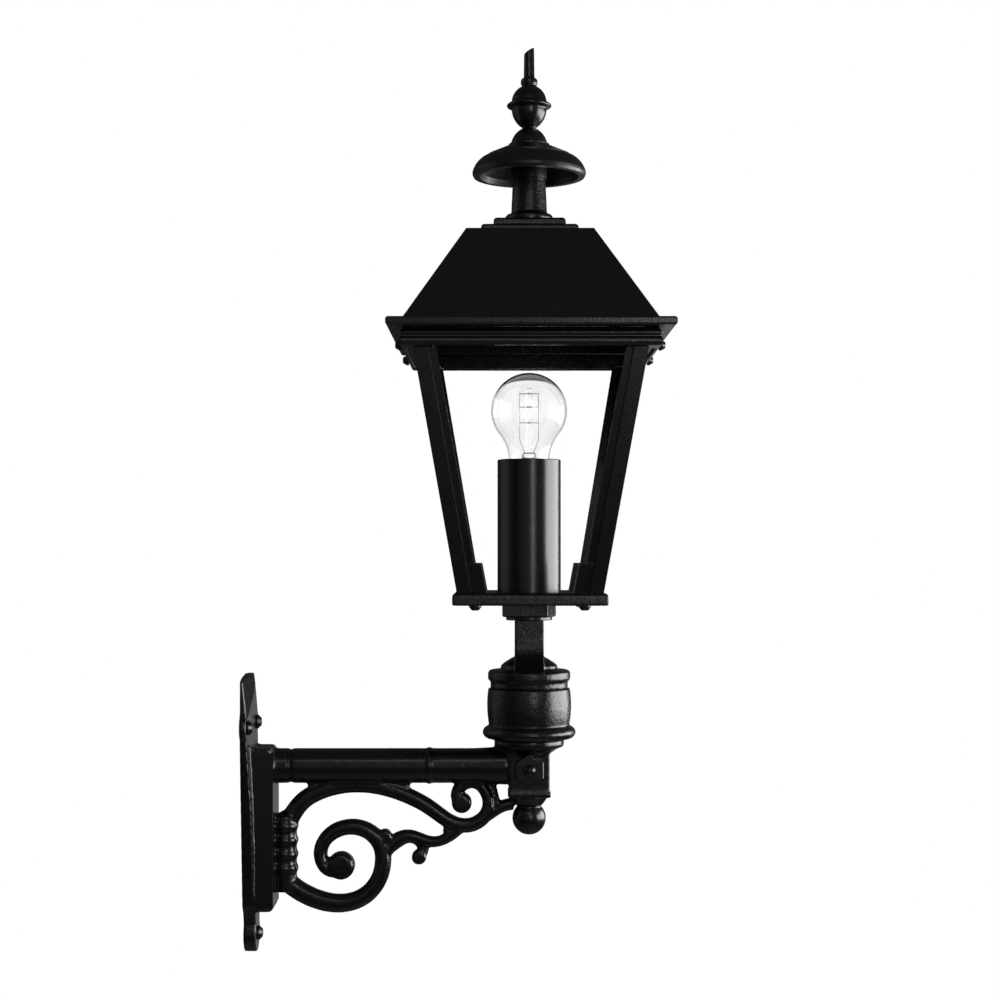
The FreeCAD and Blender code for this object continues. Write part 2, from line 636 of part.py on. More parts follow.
def binding():
    """The stems bound against the boss, with four rings."""
    made = body("binding_blank")
    r = "Dim.binding_radius"
    proud = "Dim.binding_radius + Dim.binding_ring"
    top = "Dim.boss_foot - 18"
    corners = [("0", "0"), (r, "0")]
    for k in range(4):
        low = 15 + 11 * k
        corners += [(r, f"{low}"), (proud, f"{low} + 2.5"), (proud, f"{low} + 4.5"), (r, f"{low} + 7")]
    corners += [(r, top), ("0", f"{top} + 5")]
    revolved(made, corners)
    place(made, "Dim.boss_depth + Dim.binding_radius - 1.5", 0, "-Dim.boss_foot + 14")
    return made


def bracket_arm():
    tracery = doc.addObject("Part::Feature", "scroll_blanks")
    pieces = scrollwork()
    tracery.Shape = pieces[0].multiFuse(pieces[1:])
    casting = fused("casting", [wall_plate(), boss(), arm(), binding(), tracery,
                                *socket_block()])
    deep = "Dim.plate_foot_thick + 2"
    out = Vector(1, 0, 0)
    holes = [
        part_cylinder("upper_hole_near", "Dim.wall_hole", deep, out,
                      ("-1", "-Dim.upper_bolt_half", "Dim.upper_bolt_height")),
        part_cylinder("upper_hole_far", "Dim.wall_hole", deep, out,
                      ("-1", "Dim.upper_bolt_half", "Dim.upper_bolt_height")),
        part_cylinder("lower_hole", "Dim.wall_hole", deep, out, ("-1", "0", "-Dim.lower_bolt_depth")),
        part_cylinder("socket_hole", "Dim.spigot_radius + Dim.fit_gap", "Dim.spigot_length + 1",
                      Vector(0, 0, 1), ("Dim.reach", "0", f"{seat_top} - Dim.spigot_length")),
        part_cylinder("clamp_hole", "Dim.clamp_radius + Dim.fit_gap", "2 * Dim.block_half + 2",
                      Vector(0, 1, 0),
                      ("Dim.reach", "-Dim.block_half - 1", "Dim.arm_height - Dim.clamp_drop")),
        part_cylinder("drop_hole", "Dim.wire_bore", "Dim.block_depth", Vector(0, 0, 1),
                      ("Dim.reach", "0", f"{block_foot} - 1")),
    ]
    return cut("bracket_arm", casting, fused("bracket_holes", holes))


# fasteners

def hexagon(flats):
    """Corners of a hexagon with two corners on the up axis."""
    across = f"({flats}) / 2"
    point = f"({flats}) / sqrt(3)"
    half = f"({flats}) / (2 * sqrt(3))"
    return [(across, f"-{half}"), (across, half), ("0", point),
            (f"-{across}", half), (f"-{across}", f"-{half}"), ("0", f"-{point}")]


def hex_nut(name, flats, height, bore):
    """A nut with its corners turned off, standing on its own XY plane."""
    made = body(name)
    pad(made, sketch_on(made, "XY_Plane", hexagon(flats)), height)
    point = f"({flats}) / sqrt(3)"
    edge = f"({flats}) / 2"
    drawn = sketch_on(made, "XZ_Plane", [
        (edge, f"{height}"), (f"{point} + 1", f"{height}"),
        (f"{point} + 1", f"{height} - 0.6 * ({point} + 1 - {edge})")])
    bevel = made.newObject("PartDesign::Groove", name + "_bevel")
    bevel.Profile = drawn
    bevel.ReferenceAxis = (drawn, ["V_Axis"])
    bevel.Angle = 360
    ring = made.newObject("Sketcher::SketchObject", name + "_bore_sketch")
    ring.AttachmentSupport = [(origin_plane(made, "XY_Plane"), "")]
    ring.MapMode = "FlatFace"
    circle(ring, "0", "0", bore)
    pocket(made, ring, height, both=True, through=True)
    return made


def circle(drawn, across, up, radius):
    x, y, r = number(across), number(up), number(radius)
    line = drawn.addGeometry(Part.Circle(Vector(x, y, 0), Vector(0, 0, 1), r))
    held = drawn.addConstraint(Sketcher.Constraint("Radius", line, r))
    bind(drawn, f"Constraints[{held}]", radius)
    for kind, text, value in (("DistanceX", across, x), ("DistanceY", up, y)):
        spot = drawn.addConstraint(Sketcher.Constraint(kind, line, 3, value))
        if "Dim." in str(text):
            bind(drawn, f"Constraints[{spot}]", text)


def button_bolt(name, head, rise, shank, length):
    """A turned bolt on the Z axis: the head stands above zero, the shank hangs below."""
    made = body(name)
    revolved(made, [
        ("0", f"-({length})"), (shank, f"-({length})"), (shank, "0"), (head, "0"),
        (head, f"0.35 * ({rise})"), (f"0.55 * ({head})", rise), ("0", rise)])
    return made


def fastener_group(name, copies):
    """Like fasteners kept as separate solids in one piece. Each is a pattern, a place and a
    direction that its head points in."""
    doc.recompute()
    made = doc.addObject("Part::Compound", name)
    links = []
    for pattern, spot, direction in copies:
        copy = doc.addObject("Part::Feature", name + "_copy")
        copy.Shape = pattern.Shape.copy()
        copy.Placement = FreeCAD.Placement(Vector(*[number(value) for value in spot]),
                                           facing(direction))
        links.append(copy)
    made.Links = links
    return made


def facing(direction):
    return FreeCAD.Rotation(Vector(0, 0, 1), direction)


def wall_bolts():
    shank = "Dim.wall_hole - Dim.fit_gap"
    head = ("Dim.wall_bolt_head", "Dim.wall_bolt_rise")
    upper = button_bolt("upper_bolt_pattern", *head, shank, "Dim.plate_thick")
    lower = button_bolt("lower_bolt_pattern", *head, shank, "Dim.plate_foot_thick")
    out = Vector(1, 0, 0)
    half, high = "Dim.upper_bolt_half", "Dim.upper_bolt_height"
    return fastener_group("wall_bolts", [
        (upper, ("Dim.plate_thick", f"-{half}", high), out),
        (upper, ("Dim.plate_thick", half, high), out),
        (lower, ("Dim.plate_foot_thick", "0", "-Dim.lower_bolt_depth"), out)])


def clamp_bolt():
    """The cross bolt through block and spigot, its domed end past the nut."""
    made = body("clamp_bolt")
    r = "Dim.clamp_radius"
    reach = "(2 * Dim.block_half + Dim.clamp_nut_height)"
    revolved(made, [
        ("0", "-5"), ("Dim.clamp_head - 1.5", "-5"), ("Dim.clamp_head", "-3.5"),
        ("Dim.clamp_head", "0"), (r, "0"), (r, f"{reach} + 0.1"),
        (f"{r} + 0.9", f"{reach} + 0.6", (f"{r} + 2", 1, False)), ("1", f"{reach} + 4"),
        ("0", f"{reach} + 4")])
    made.Placement.Rotation = facing(Vector(0, -1, 0))
    place(made, "Dim.reach", "Dim.block_half", "Dim.arm_height - Dim.clamp_drop")
    return made


def clamp_nut():
    made = hex_nut("clamp_nut", "Dim.clamp_nut_flats", "Dim.clamp_nut_height",
                   "Dim.clamp_radius + Dim.fit_gap")
    made.Placement.Rotation = FreeCAD.Rotation(Vector(1, 0, 0), Vector(0, 0, 1), Vector(0, -1, 0), "ZXY")
    place(made, "Dim.reach", "-Dim.block_half", "Dim.arm_height - Dim.clamp_drop")
    return made


def foot_bolts():
    pattern = button_bolt("foot_bolt_pattern", "Dim.foot_bolt_head", "Dim.foot_bolt_drop",
                          "Dim.foot_bolt_radius", "Dim.base_thick + Dim.foot_bolt_bite")
    half = "Dim.foot_bolt_half"
    return fastener_group("foot_bolts", [
        (pattern, (f"Dim.reach + {a} * {half}", f"{b} * {half}", base_foot), Vector(0, 0, -1))
        for a in (-1, 1) for b in (-1, 1)])


def side_bolts():
    grip = "Dim.rail_bead + Dim.rail_wall + Dim.fit_gap + Dim.tab_thick + 2"
    pattern = button_bolt("side_bolt_pattern", "Dim.side_bolt_head", "Dim.side_bolt_rise",
                          "Dim.side_bolt_radius", grip)
    return fastener_group("side_bolts", [
        (pattern, (f"Dim.reach + {a} * (Dim.rail_half + Dim.rail_bead)", f"{b} * Dim.side_bolt_half",
                   f"{rail_foot} + Dim.side_bolt_height"), Vector(a, 0, 0))
        for a in (-1, 1) for b in (-1, 1)])


# drop, drum and stem

def drop_finial():
    """The ball under the block, with a stud that stands in the cone."""
    r = "Dim.drop_radius"
    neck = "Dim.drop_neck"
    stud = "Dim.wire_bore - Dim.fit_gap"
    centre = f"(-Dim.drop_neck_height - sqrt({r} ^ 2 - {neck} ^ 2))"
    return turned("drop_finial", [
        ("0", f"{centre} - {r}", (r, 1, False)), (r, centre, (r, 1, False)),
        (neck, "-Dim.drop_neck_height"), (neck, "0"), (stud, "0"),
        (stud, "Dim.block_cone + 6"), ("0", "Dim.block_cone + 6")], block_foot)


def wiring_drum():
    """The drum with its rolled flange, and the spigot that stands in the block."""
    wall = "Dim.drum_radius - Dim.drum_wall"
    flange = "Dim.flange_radius"
    barrel = "(Dim.flange_height + Dim.drum_height)"
    made = turned("wiring_drum", [
        ("Dim.wire_bore", "-Dim.spigot_length + 1"), ("Dim.spigot_radius", "-Dim.spigot_length + 1"),
        ("Dim.spigot_radius", "0"), (f"{flange} - 5.5", "0", ("5.5", 1, False)),
        (flange, "0.5 * Dim.flange_height", ("5.5", 1, False)), (f"{flange} - 5", "Dim.flange_height"),
        ("Dim.drum_radius - 1.2", "Dim.flange_height", ("90", 1, False)),
        ("Dim.drum_radius - 0.6", barrel),
        (wall, barrel), (wall, "Dim.drum_floor"), ("Dim.wire_bore", "Dim.drum_floor")], seat_top)
    drawn = made.newObject("Sketcher::SketchObject", "spigot_hole_sketch")
    drawn.AttachmentSupport = [(origin_plane(made, "XZ_Plane"), "")]
    drawn.MapMode = "FlatFace"
    circle(drawn, "0", "-Dim.seat_over - Dim.clamp_drop", "Dim.clamp_radius + Dim.fit_gap")
    pocket(made, drawn, "4 * Dim.spigot_radius", both=True)
    return made


def drum_cover():
    """The cover of the drum, cast with a flat sided stem that spreads over the dome."""
    made = body("drum_cover")
    plug = "Dim.drum_radius - Dim.drum_wall - Dim.fit_gap"
    ring = "Dim.ring_radius"
    ring_foot = "Dim.groove_height"
    shelf = "(Dim.groove_height + Dim.ring_height)"
    bore = "Dim.conduit_radius + Dim.fit_gap"
    revolved(made, [
        (bore, "-6"), (plug, "-6"), (plug, "0"), ("Dim.groove_radius", "0"),
        ("Dim.groove_radius", ring_foot), (f"{ring} - 1.5", ring_foot),
        (ring, f"{ring_foot} + 1.5"), (ring, f"{shelf} - 3", ("3", 1, False)), (f"{ring} - 3", shelf),
        ("Dim.dome_radius", shelf),
        ("Dim.dome_radius - 0.4", f"{shelf} + 0.36 * Dim.dome_height", ("2 * Dim.dome_radius", 1, False)),
        ("0.58 * Dim.dome_radius", f"{shelf} + Dim.dome_height"), (bore, f"{shelf} + Dim.dome_height")])
    top = f"({shelf} + Dim.stem_height)"
    out = "Dim.stem_depth_foot"
    inn = "Dim.stem_depth_top"
    drawn = sketch_on(made, "YZ_Plane", [
        (f"-{out}", f"{shelf} - 3"), (out, f"{shelf} - 3"), (out, shelf, ("34", -1, False)),
        (inn, f"{shelf} + 0.62 * Dim.stem_height"), (inn, top), (f"-{inn}", top),
        (f"-{inn}", f"{shelf} + 0.62 * Dim.stem_height", ("34", -1, False)), (f"-{out}", shelf)])
    pad(made, drawn, "Dim.stem_width", both=True)
    hole = made.newObject("Sketcher::SketchObject", "stem_bore_sketch")
    hole.AttachmentSupport = [(origin_plane(made, "XY_Plane"), "")]
    hole.MapMode = "FlatFace"
    circle(hole, "0", "0", bore)
    pocket(made, hole, top, both=True, through=True)
    place(made, "Dim.reach", 0, drum_top)
    return made


def stem_washer():
    r = "Dim.washer_radius"
    bore = "Dim.conduit_radius + Dim.fit_gap"
    return turned("stem_washer", [(bore, "0"), (f"{r} - 0.5", "0"), (r, "0.5"),
                                  (r, "Dim.washer_height"), (bore, "Dim.washer_height")], stem_top)


def lock_nut():
    made = hex_nut("lock_nut", "Dim.lock_nut_flats", "Dim.lock_nut_height",
                   "Dim.conduit_radius + Dim.fit_gap")
    made.Placement.Rotation = FreeCAD.Rotation(Vector(0, 0, 1), 30)
    place(made, "Dim.reach", 0, nut_foot)
    return made


def back_nut():
    """The nut that clamps the conduit from above, hidden in the lamp tube."""
    made = hex_nut("back_nut", "Dim.back_nut_flats", "Dim.back_nut_height",
                   "Dim.conduit_radius + Dim.fit_gap")
    place(made, "Dim.reach", 0, base_top)
    return made


def conduit():
    low = f"({drum_top} - 9)"
    tall = f"({holder_foot} + 5 - {low})"
    return turned("conduit", [
        ("Dim.wire_bore", "0"), ("Dim.conduit_radius - 0.8", "0"), ("Dim.conduit_radius", "0.8"),
        ("Dim.conduit_radius", f"{tall} - 0.8"), ("Dim.conduit_radius - 0.8", tall),
        ("Dim.wire_bore", tall)], low)


# lantern frame

def soften(made, blank, level, size, kind="Chamfer"):
    """A chamfer or fillet on every edge of the last feature that lies at one level."""
    doc.recompute()
    top = number(level)
    edges = [f"Edge{i}" for i, e in enumerate(blank.Shape.Edges, 1)
             if all(abs(v.Point.z - top) < 1e-6 for v in e.Vertexes)]
    soft = made.newObject("PartDesign::" + kind, made.Name + "_edge")
    soft.Base = (blank, edges)
    bind(soft, "Radius" if kind == "Fillet" else "Size", size)


def base_plate():
    made = body("base_plate")
    blank = pad(made, sketch_on(made, "XY_Plane", square("Dim.base_half")), "Dim.base_thick")
    soften(made, blank, "Dim.base_thick", "Dim.base_round", "Fillet")
    drawn = made.newObject("Sketcher::SketchObject", "base_holes_sketch")
    drawn.AttachmentSupport = [(origin_plane(made, "XY_Plane"), "")]
    drawn.MapMode = "FlatFace"
    circle(drawn, "0", "0", "Dim.conduit_radius + Dim.fit_gap")
    for a in ("-1", "1"):
        for b in ("-1", "1"):
            circle(drawn, f"{a} * Dim.foot_bolt_half", f"{b} * Dim.foot_bolt_half",
                   "Dim.foot_bolt_radius + Dim.fit_gap")
    pocket(made, drawn, "Dim.base_thick", both=True, through=True)
    place(made, "Dim.reach", 0, base_foot)
    return made


def post_section(a, b, corner):
    """The section of a post at the corner in direction a, b: an outer bar with two glazing ribs."""
    bar, rib = "Dim.post_bar", "Dim.post_rib"
    back, thick = "Dim.post_setback", "Dim.post_rib_thick"
    steps = [("0", "0"), (bar, "0"), (bar, back), (f"{bar} + {rib}", back),
             (f"{bar} + {rib}", f"{back} + {thick}"), (bar, f"{back} + {thick}"), (bar, bar),
             (f"{back} + {thick}", bar), (f"{back} + {thick}", f"{bar} + {rib}"),
             (back, f"{bar} + {rib}"), (back, bar), ("0", bar)]
    spots = [(f"{a} * ({corner} - ({u}))", f"{b} * ({corner} - ({v}))") for u, v in steps]
    return spots if a * b > 0 else spots[::-1]


def post(name, a, b):
    made = body(name)
    low = sketch_on(made, "XY_Plane", post_section(a, b, "Dim.post_foot_out"))
    high = sketch_on(made, "XY_Plane", post_section(a, b, post_top_out), "Dim.post_height")
    bar = made.newObject("PartDesign::AdditiveLoft", name + "_bar")
    bar.Profile = low
    bar.Sections = [high]
    bar.Ruled = True
    rise = f"({post_top_out} - Dim.post_foot_out) * Dim.foot_height / Dim.post_height"
    levels = [("Dim.foot_inner", "(Dim.post_foot_out - 0.8)", None),
              ("(Dim.foot_inner + Dim.foot_slope)", f"(Dim.post_foot_out + {rise} - 0.8)",
               "Dim.foot_height")]
    sections = []
    for inner, outer, lift in levels:
        across = sorted((f"{a} * {inner}", f"{a} * {outer}"), key=number)
        along = sorted((f"{b} * {inner}", f"{b} * {outer}"), key=number)
        sections.append(sketch_on(made, "XY_Plane", rectangle(*across, *along), lift))
    foot = made.newObject("PartDesign::AdditiveLoft", name + "_foot")
    foot.Profile = sections[0]
    foot.Sections = [sections[1]]
    foot.Ruled = True
    drawn = made.newObject("Sketcher::SketchObject", name + "_thread_sketch")
    drawn.AttachmentSupport = [(origin_plane(made, "XY_Plane"), "")]
    drawn.MapMode = "FlatFace"
    circle(drawn, f"{a} * Dim.foot_bolt_half", f"{b} * Dim.foot_bolt_half",
           "Dim.foot_bolt_radius + Dim.fit_gap")
    pocket(made, drawn, "Dim.foot_bolt_bite + 1", back=True)
    drawn = made.newObject("Sketcher::SketchObject", name + "_top_sketch")
    drawn.AttachmentSupport = [(origin_plane(made, "XY_Plane"), "")]
    drawn.MapMode = "FlatFace"
    bind(drawn, "AttachmentOffset.Base.z", "Dim.post_height")
    circle(drawn, f"{a} * {post_top_middle}", f"{b} * {post_top_middle}",
           "Dim.corner_screw_radius + Dim.fit_gap")
    pocket(made, drawn, "Dim.corner_screw_bite + 1")
    place(made, "Dim.reach", 0, base_top)
    return made


def top_rail():
    """The square rail: a moulding with two round beads, mitred at its corners, and a plate in each corner."""
    made = body("top_rail")
    path = made.newObject("Sketcher::SketchObject", "rail_path")
    path.AttachmentSupport = [(origin_plane(made, "XY_Plane"), "")]
    path.MapMode = "FlatFace"
    half = "Dim.rail_half"
    outline(path, [(half, "0"), (half, half), (f"-{half}", half), (f"-{half}", f"-{half}"), (half, f"-{half}")])
    root, lower_top = f"({half} - Dim.rail_groove)", "Dim.rail_bead_height"
    upper_foot = f"({lower_top} + 0.6)"
    upper_top = f"({upper_foot} + Dim.rail_upper_bead_height)"
    lower_arc, upper_arc = [
        f"((0.25 * {tall} ^ 2 + ({out} + Dim.rail_groove) ^ 2) / (2 * ({out} + Dim.rail_groove)))"
        for tall, out in ((lower_top, "Dim.rail_bead"), ("Dim.rail_upper_bead_height", "Dim.rail_upper_bead"))]
    section = sketch_on(made, "XZ_Plane", [
        (f"{half} - Dim.rail_wall", "0"), (root, "0", (lower_arc, 1, False)), (root, lower_top),
        (root, upper_foot, (upper_arc, 1, False)), (root, upper_top),
        (f"{root} - 0.5", f"{upper_top} + 0.5"), (f"{root} - 0.5", "Dim.rail_height"),
        (f"{half} - Dim.rail_wall", "Dim.rail_height")])
    moulding = made.newObject("PartDesign::AdditivePipe", "moulding")
    moulding.Profile = section
    moulding.Spine = (path, [])
    moulding.Transition = "Right corner"
    inner = "(Dim.rail_half - Dim.corner_plate)"
    outer = "(Dim.rail_half - 1)"
    for a in (-1, 1):
        for b in (-1, 1):
            xs = sorted((f"{a} * {inner}", f"{a} * {outer}"), key=number)
            ys = sorted((f"{b} * {inner}", f"{b} * {outer}"), key=number)
            corner = sketch_on(made, "XY_Plane", rectangle(*xs, *ys))
            circle(corner, f"{a} * {post_top_middle}", f"{b} * {post_top_middle}",
                   "Dim.corner_screw_radius + Dim.fit_gap")
            pad(made, corner, "Dim.corner_thick")
    drawn = made.newObject("Sketcher::SketchObject", "side_holes_sketch")
    drawn.AttachmentSupport = [(origin_plane(made, "YZ_Plane"), "")]
    drawn.MapMode = "FlatFace"
    for b in ("-1", "1"):
        circle(drawn, f"{b} * Dim.side_bolt_half", "Dim.side_bolt_height",
               "Dim.side_bolt_radius + Dim.fit_gap")
    pocket(made, drawn, "2 * Dim.rail_half + 10", both=True)
    place(made, "Dim.reach", 0, rail_foot)
    return made


def corner_screws():
    pattern = button_bolt("corner_screw_pattern", "Dim.corner_screw_head", "Dim.corner_screw_rise",
                          "Dim.corner_screw_radius", "Dim.corner_thick + Dim.corner_screw_bite")
    return fastener_group("corner_screws", [
        (pattern, (f"Dim.reach + {a} * {post_top_middle}", f"{b} * {post_top_middle}",
                   f"{rail_foot} + Dim.corner_thick"), Vector(0, 0, 1))
        for a in (-1, 1) for b in (-1, 1)])


def roof_rim():
    """The cast rim under the roof, with a tab inside the rail on the left and right."""
    made = body("roof_rim")
    drawn = sketch_on(made, "XY_Plane", square(rim_half))
    outline(drawn, square(rim_opening))
    blank = pad(made, drawn, "Dim.rim_thick")
    doc.recompute()
    half = number(rim_half)
    edges = [f"Edge{i}" for i, e in enumerate(blank.Shape.Edges, 1)
             if all(abs(max(abs(v.Point.x), abs(v.Point.y)) - half) < 1e-6 for v in e.Vertexes)
             and abs(e.Vertexes[0].Point.z - e.Vertexes[-1].Point.z) < 1e-6]
    soft = made.newObject("PartDesign::Chamfer", "rim_edge")
    soft.Base = (blank, edges)
    bind(soft, "Size", "Dim.rim_thick * 0.22")
    outer = "(Dim.rail_half - Dim.rail_wall - Dim.fit_gap)"
    inner = f"({outer} - Dim.tab_thick)"
    for a in (-1, 1):
        xs = sorted((f"{a} * {inner}", f"{a} * {outer}"), key=number)
        tab = sketch_on(made, "XY_Plane", rectangle(*xs, "-Dim.tab_half", "Dim.tab_half"))
        pad(made, tab, "Dim.tab_depth", back=True)
    drawn = made.newObject("Sketcher::SketchObject", "tab_holes_sketch")
    drawn.AttachmentSupport = [(origin_plane(made, "YZ_Plane"), "")]
    drawn.MapMode = "FlatFace"
    for b in ("-1", "1"):
        circle(drawn, f"{b} * Dim.side_bolt_half", "Dim.side_bolt_height - Dim.rail_height",
               "Dim.side_bolt_radius + Dim.fit_gap")
    pocket(made, drawn, "2 * Dim.rail_half", both=True)
    place(made, "Dim.reach", 0, rim_foot)
    return made


def roof():
    """The pyramid roof, folded from sheet, with a flat top that carries the crown."""
    made = body("roof")
    foot, top = roof_half, "Dim.roof_top_half"
    sheet = "Dim.roof_sheet"
    low = sketch_on(made, "XY_Plane", square(foot))
    high = sketch_on(made, "XY_Plane", square(top), "Dim.roof_height")
    skin = made.newObject("PartDesign::AdditiveLoft", "roof_skin")
    skin.Profile = low
    skin.Sections = [high]
    skin.Ruled = True
    low = sketch_on(made, "XY_Plane", square(f"{foot} - {sheet}"))
    high = sketch_on(made, "XY_Plane", square(f"{top} - {sheet}"), f"Dim.roof_height - {sheet}")
    hollow = made.newObject("PartDesign::SubtractiveLoft", "roof_hollow")
    hollow.Profile = low
    hollow.Sections = [high]
    hollow.Ruled = True
    vent = made.newObject("Sketcher::SketchObject", "roof_vent_sketch")
    vent.AttachmentSupport = [(origin_plane(made, "XY_Plane"), "")]
    vent.MapMode = "FlatFace"
    circle(vent, "0", "0", "Dim.chimney_bore")
    pocket(made, vent, "Dim.roof_height", both=True, through=True)
    place(made, "Dim.reach", 0, roof_foot)
    return made


def crown():
    """Two square steps, a rolled ring and the tapered chimney, cast in one."""
    made = body("chimney")
    bore = "Dim.chimney_bore"
    ring = f"({crown_height} + Dim.torus_height)"
    end = f"({ring} + Dim.chimney_height)"
    low = pad(made, sketch_on(made, "XY_Plane", square("Dim.crown_low_half")), "Dim.crown_low_height")
    soften(made, low, "Dim.crown_low_height", "Dim.crown_edge")
    high = pad(made, sketch_on(made, "XY_Plane", square("Dim.crown_high_half")), crown_height)
    soften(made, high, crown_height, "Dim.crown_edge")
    revolved(made, [
        ("0", "1"), ("Dim.torus_radius - 3", "1"),
        ("Dim.torus_radius - 3", crown_height), (f"Dim.torus_radius - 1.5", crown_height),
        ("Dim.torus_radius", f"{crown_height} + 0.3 * Dim.torus_height"),
        ("Dim.torus_radius", f"{crown_height} + 0.7 * Dim.torus_height"),
        ("Dim.torus_radius - 1.5", ring), ("Dim.chimney_foot", ring),
        ("Dim.chimney_top", f"{end} - Dim.cap_overlap - Dim.cap_socket_drop - 1"),
        ("Dim.chimney_top", end),
        ("0", end)])
    vent = made.newObject("Sketcher::SketchObject", "crown_vent_sketch")
    vent.AttachmentSupport = [(origin_plane(made, "XY_Plane"), "")]
    vent.MapMode = "FlatFace"
    circle(vent, "0", "0", bore)
    pocket(made, vent, end, both=True, through=True)
    place(made, "Dim.reach", 0, crown_foot)
    return made


def chimney_cap():
    """The umbrella cap: a hollow skirt, a shallow cone and a bell, with a socket for the chimney."""
    skirt = "Dim.cap_skirt_height"
    step = "(Dim.cap_skirt_height + 2.4)"
    cone = f"({step} + Dim.cap_cone_rise)"
    bell = f"({cone} + Dim.cap_bell_height)"
    fit = "Dim.chimney_top + Dim.fit_gap"
    return turned("chimney_cap", [
        ("Dim.cap_mouth", "0"), ("Dim.cap_radius - 1", "0"), ("Dim.cap_radius", "2"),
        ("Dim.cap_radius", "4", ("19", 1, False)),
        ("Dim.cap_skirt_top", skirt), ("Dim.cap_cone_foot", skirt), ("Dim.cap_cone_foot", step),
        ("Dim.cap_bell", cone), ("Dim.cap_bell", f"{cone} + 1.2"),
        ("Dim.cap_bell - 1.8", f"{cone} + 2.4", ("16", 1, False)),
        ("Dim.finial_neck + 0.3", bell), ("0", bell),
        ("0", "Dim.cap_overlap"), (fit, "Dim.cap_overlap"), (fit, "-Dim.cap_socket_drop"),
        ("Dim.cap_socket", "-Dim.cap_socket_drop"), ("Dim.cap_socket", "Dim.cap_overlap"),
        ("Dim.cap_mouth - 12", "Dim.cap_overlap"), ("Dim.cap_mouth - 2.5", "4")], cap_foot)


def finial():
    """A cup with a brim, a dome, a collar and a spike whose end is cut on a slant."""
    neck, cup, brim = "Dim.finial_neck", "Dim.finial_cup", "Dim.finial_brim"
    collar, spike = "Dim.finial_collar", "Dim.finial_spike"
    low = "(1 + Dim.finial_cup_height)"
    high = f"({low} + Dim.finial_brim_height)"
    top = f"({high} + Dim.finial_dome_height)"
    tip = f"({top} + 6.4 + Dim.finial_spike_height)"
    made = turned("finial", [
        ("0", "0"), (neck, "0"), (neck, "1", (f"1.25 * {cup}", 1, False)), (cup, low),
        (f"{brim} - 1", f"{low} + 0.8"), (brim, f"{low} + 1.6"), (brim, f"{low} + 2.8"),
        (f"{brim} - 1.2", f"{low} + 3.8"), (cup, high, (cup, 1, False)),
        (f"{collar} - 0.8", top), (f"{collar} - 1", f"{top} + 0.8"), (collar, f"{top} + 2"),
        (collar, f"{top} + 5"), (f"{collar} - 1", f"{top} + 6.4"), (spike, f"{top} + 6.4"),
        (f"{spike} - 0.4", tip), ("0", tip)], f"{cap_foot} + {cap_height}")
    drawn = sketch_on(made, "XZ_Plane", [
        (f"-{spike} - 1", f"{tip} - 6.5"), (f"{spike} + 1", f"{tip} + 0.5"),
        (f"-{spike} - 1", f"{tip} + 0.5")])
    pocket(made, drawn, f"4 * {spike}", both=True)
    return made


# lamp

def lamp_tube():
    r, wall = "Dim.tube_radius", "Dim.tube_wall"
    return turned("lamp_tube", [(f"{r} - {wall}", "0"), (r, "0"), (r, "Dim.tube_height - 0.6"),
                                (f"{r} - 0.6", "Dim.tube_height"), (f"{r} - {wall}", "Dim.tube_height")],
                  base_top)


def lampholder():
    """The holder on top of the conduit: a hub below, a socket above, a rim inside the tube."""
    hub = "Dim.conduit_radius + Dim.fit_gap"
    inside = "Dim.tube_radius - Dim.tube_wall - Dim.fit_gap"
    tall = "Dim.holder_height - 1"
    return turned("lampholder", [
        (hub, "0"), ("Dim.holder_radius - 3", "0"), ("Dim.holder_radius", "3"),
        ("Dim.holder_radius", f"{tall} - 10"), (inside, f"{tall} - 7"), (inside, tall),
        ("Dim.holder_bore + 4.6", tall), ("Dim.holder_bore + 4.6", f"{tall} - 5"),
        ("Dim.holder_bore", f"{tall} - 14"), ("Dim.holder_bore", "5.5"), (hub, "5.5")], holder_foot)


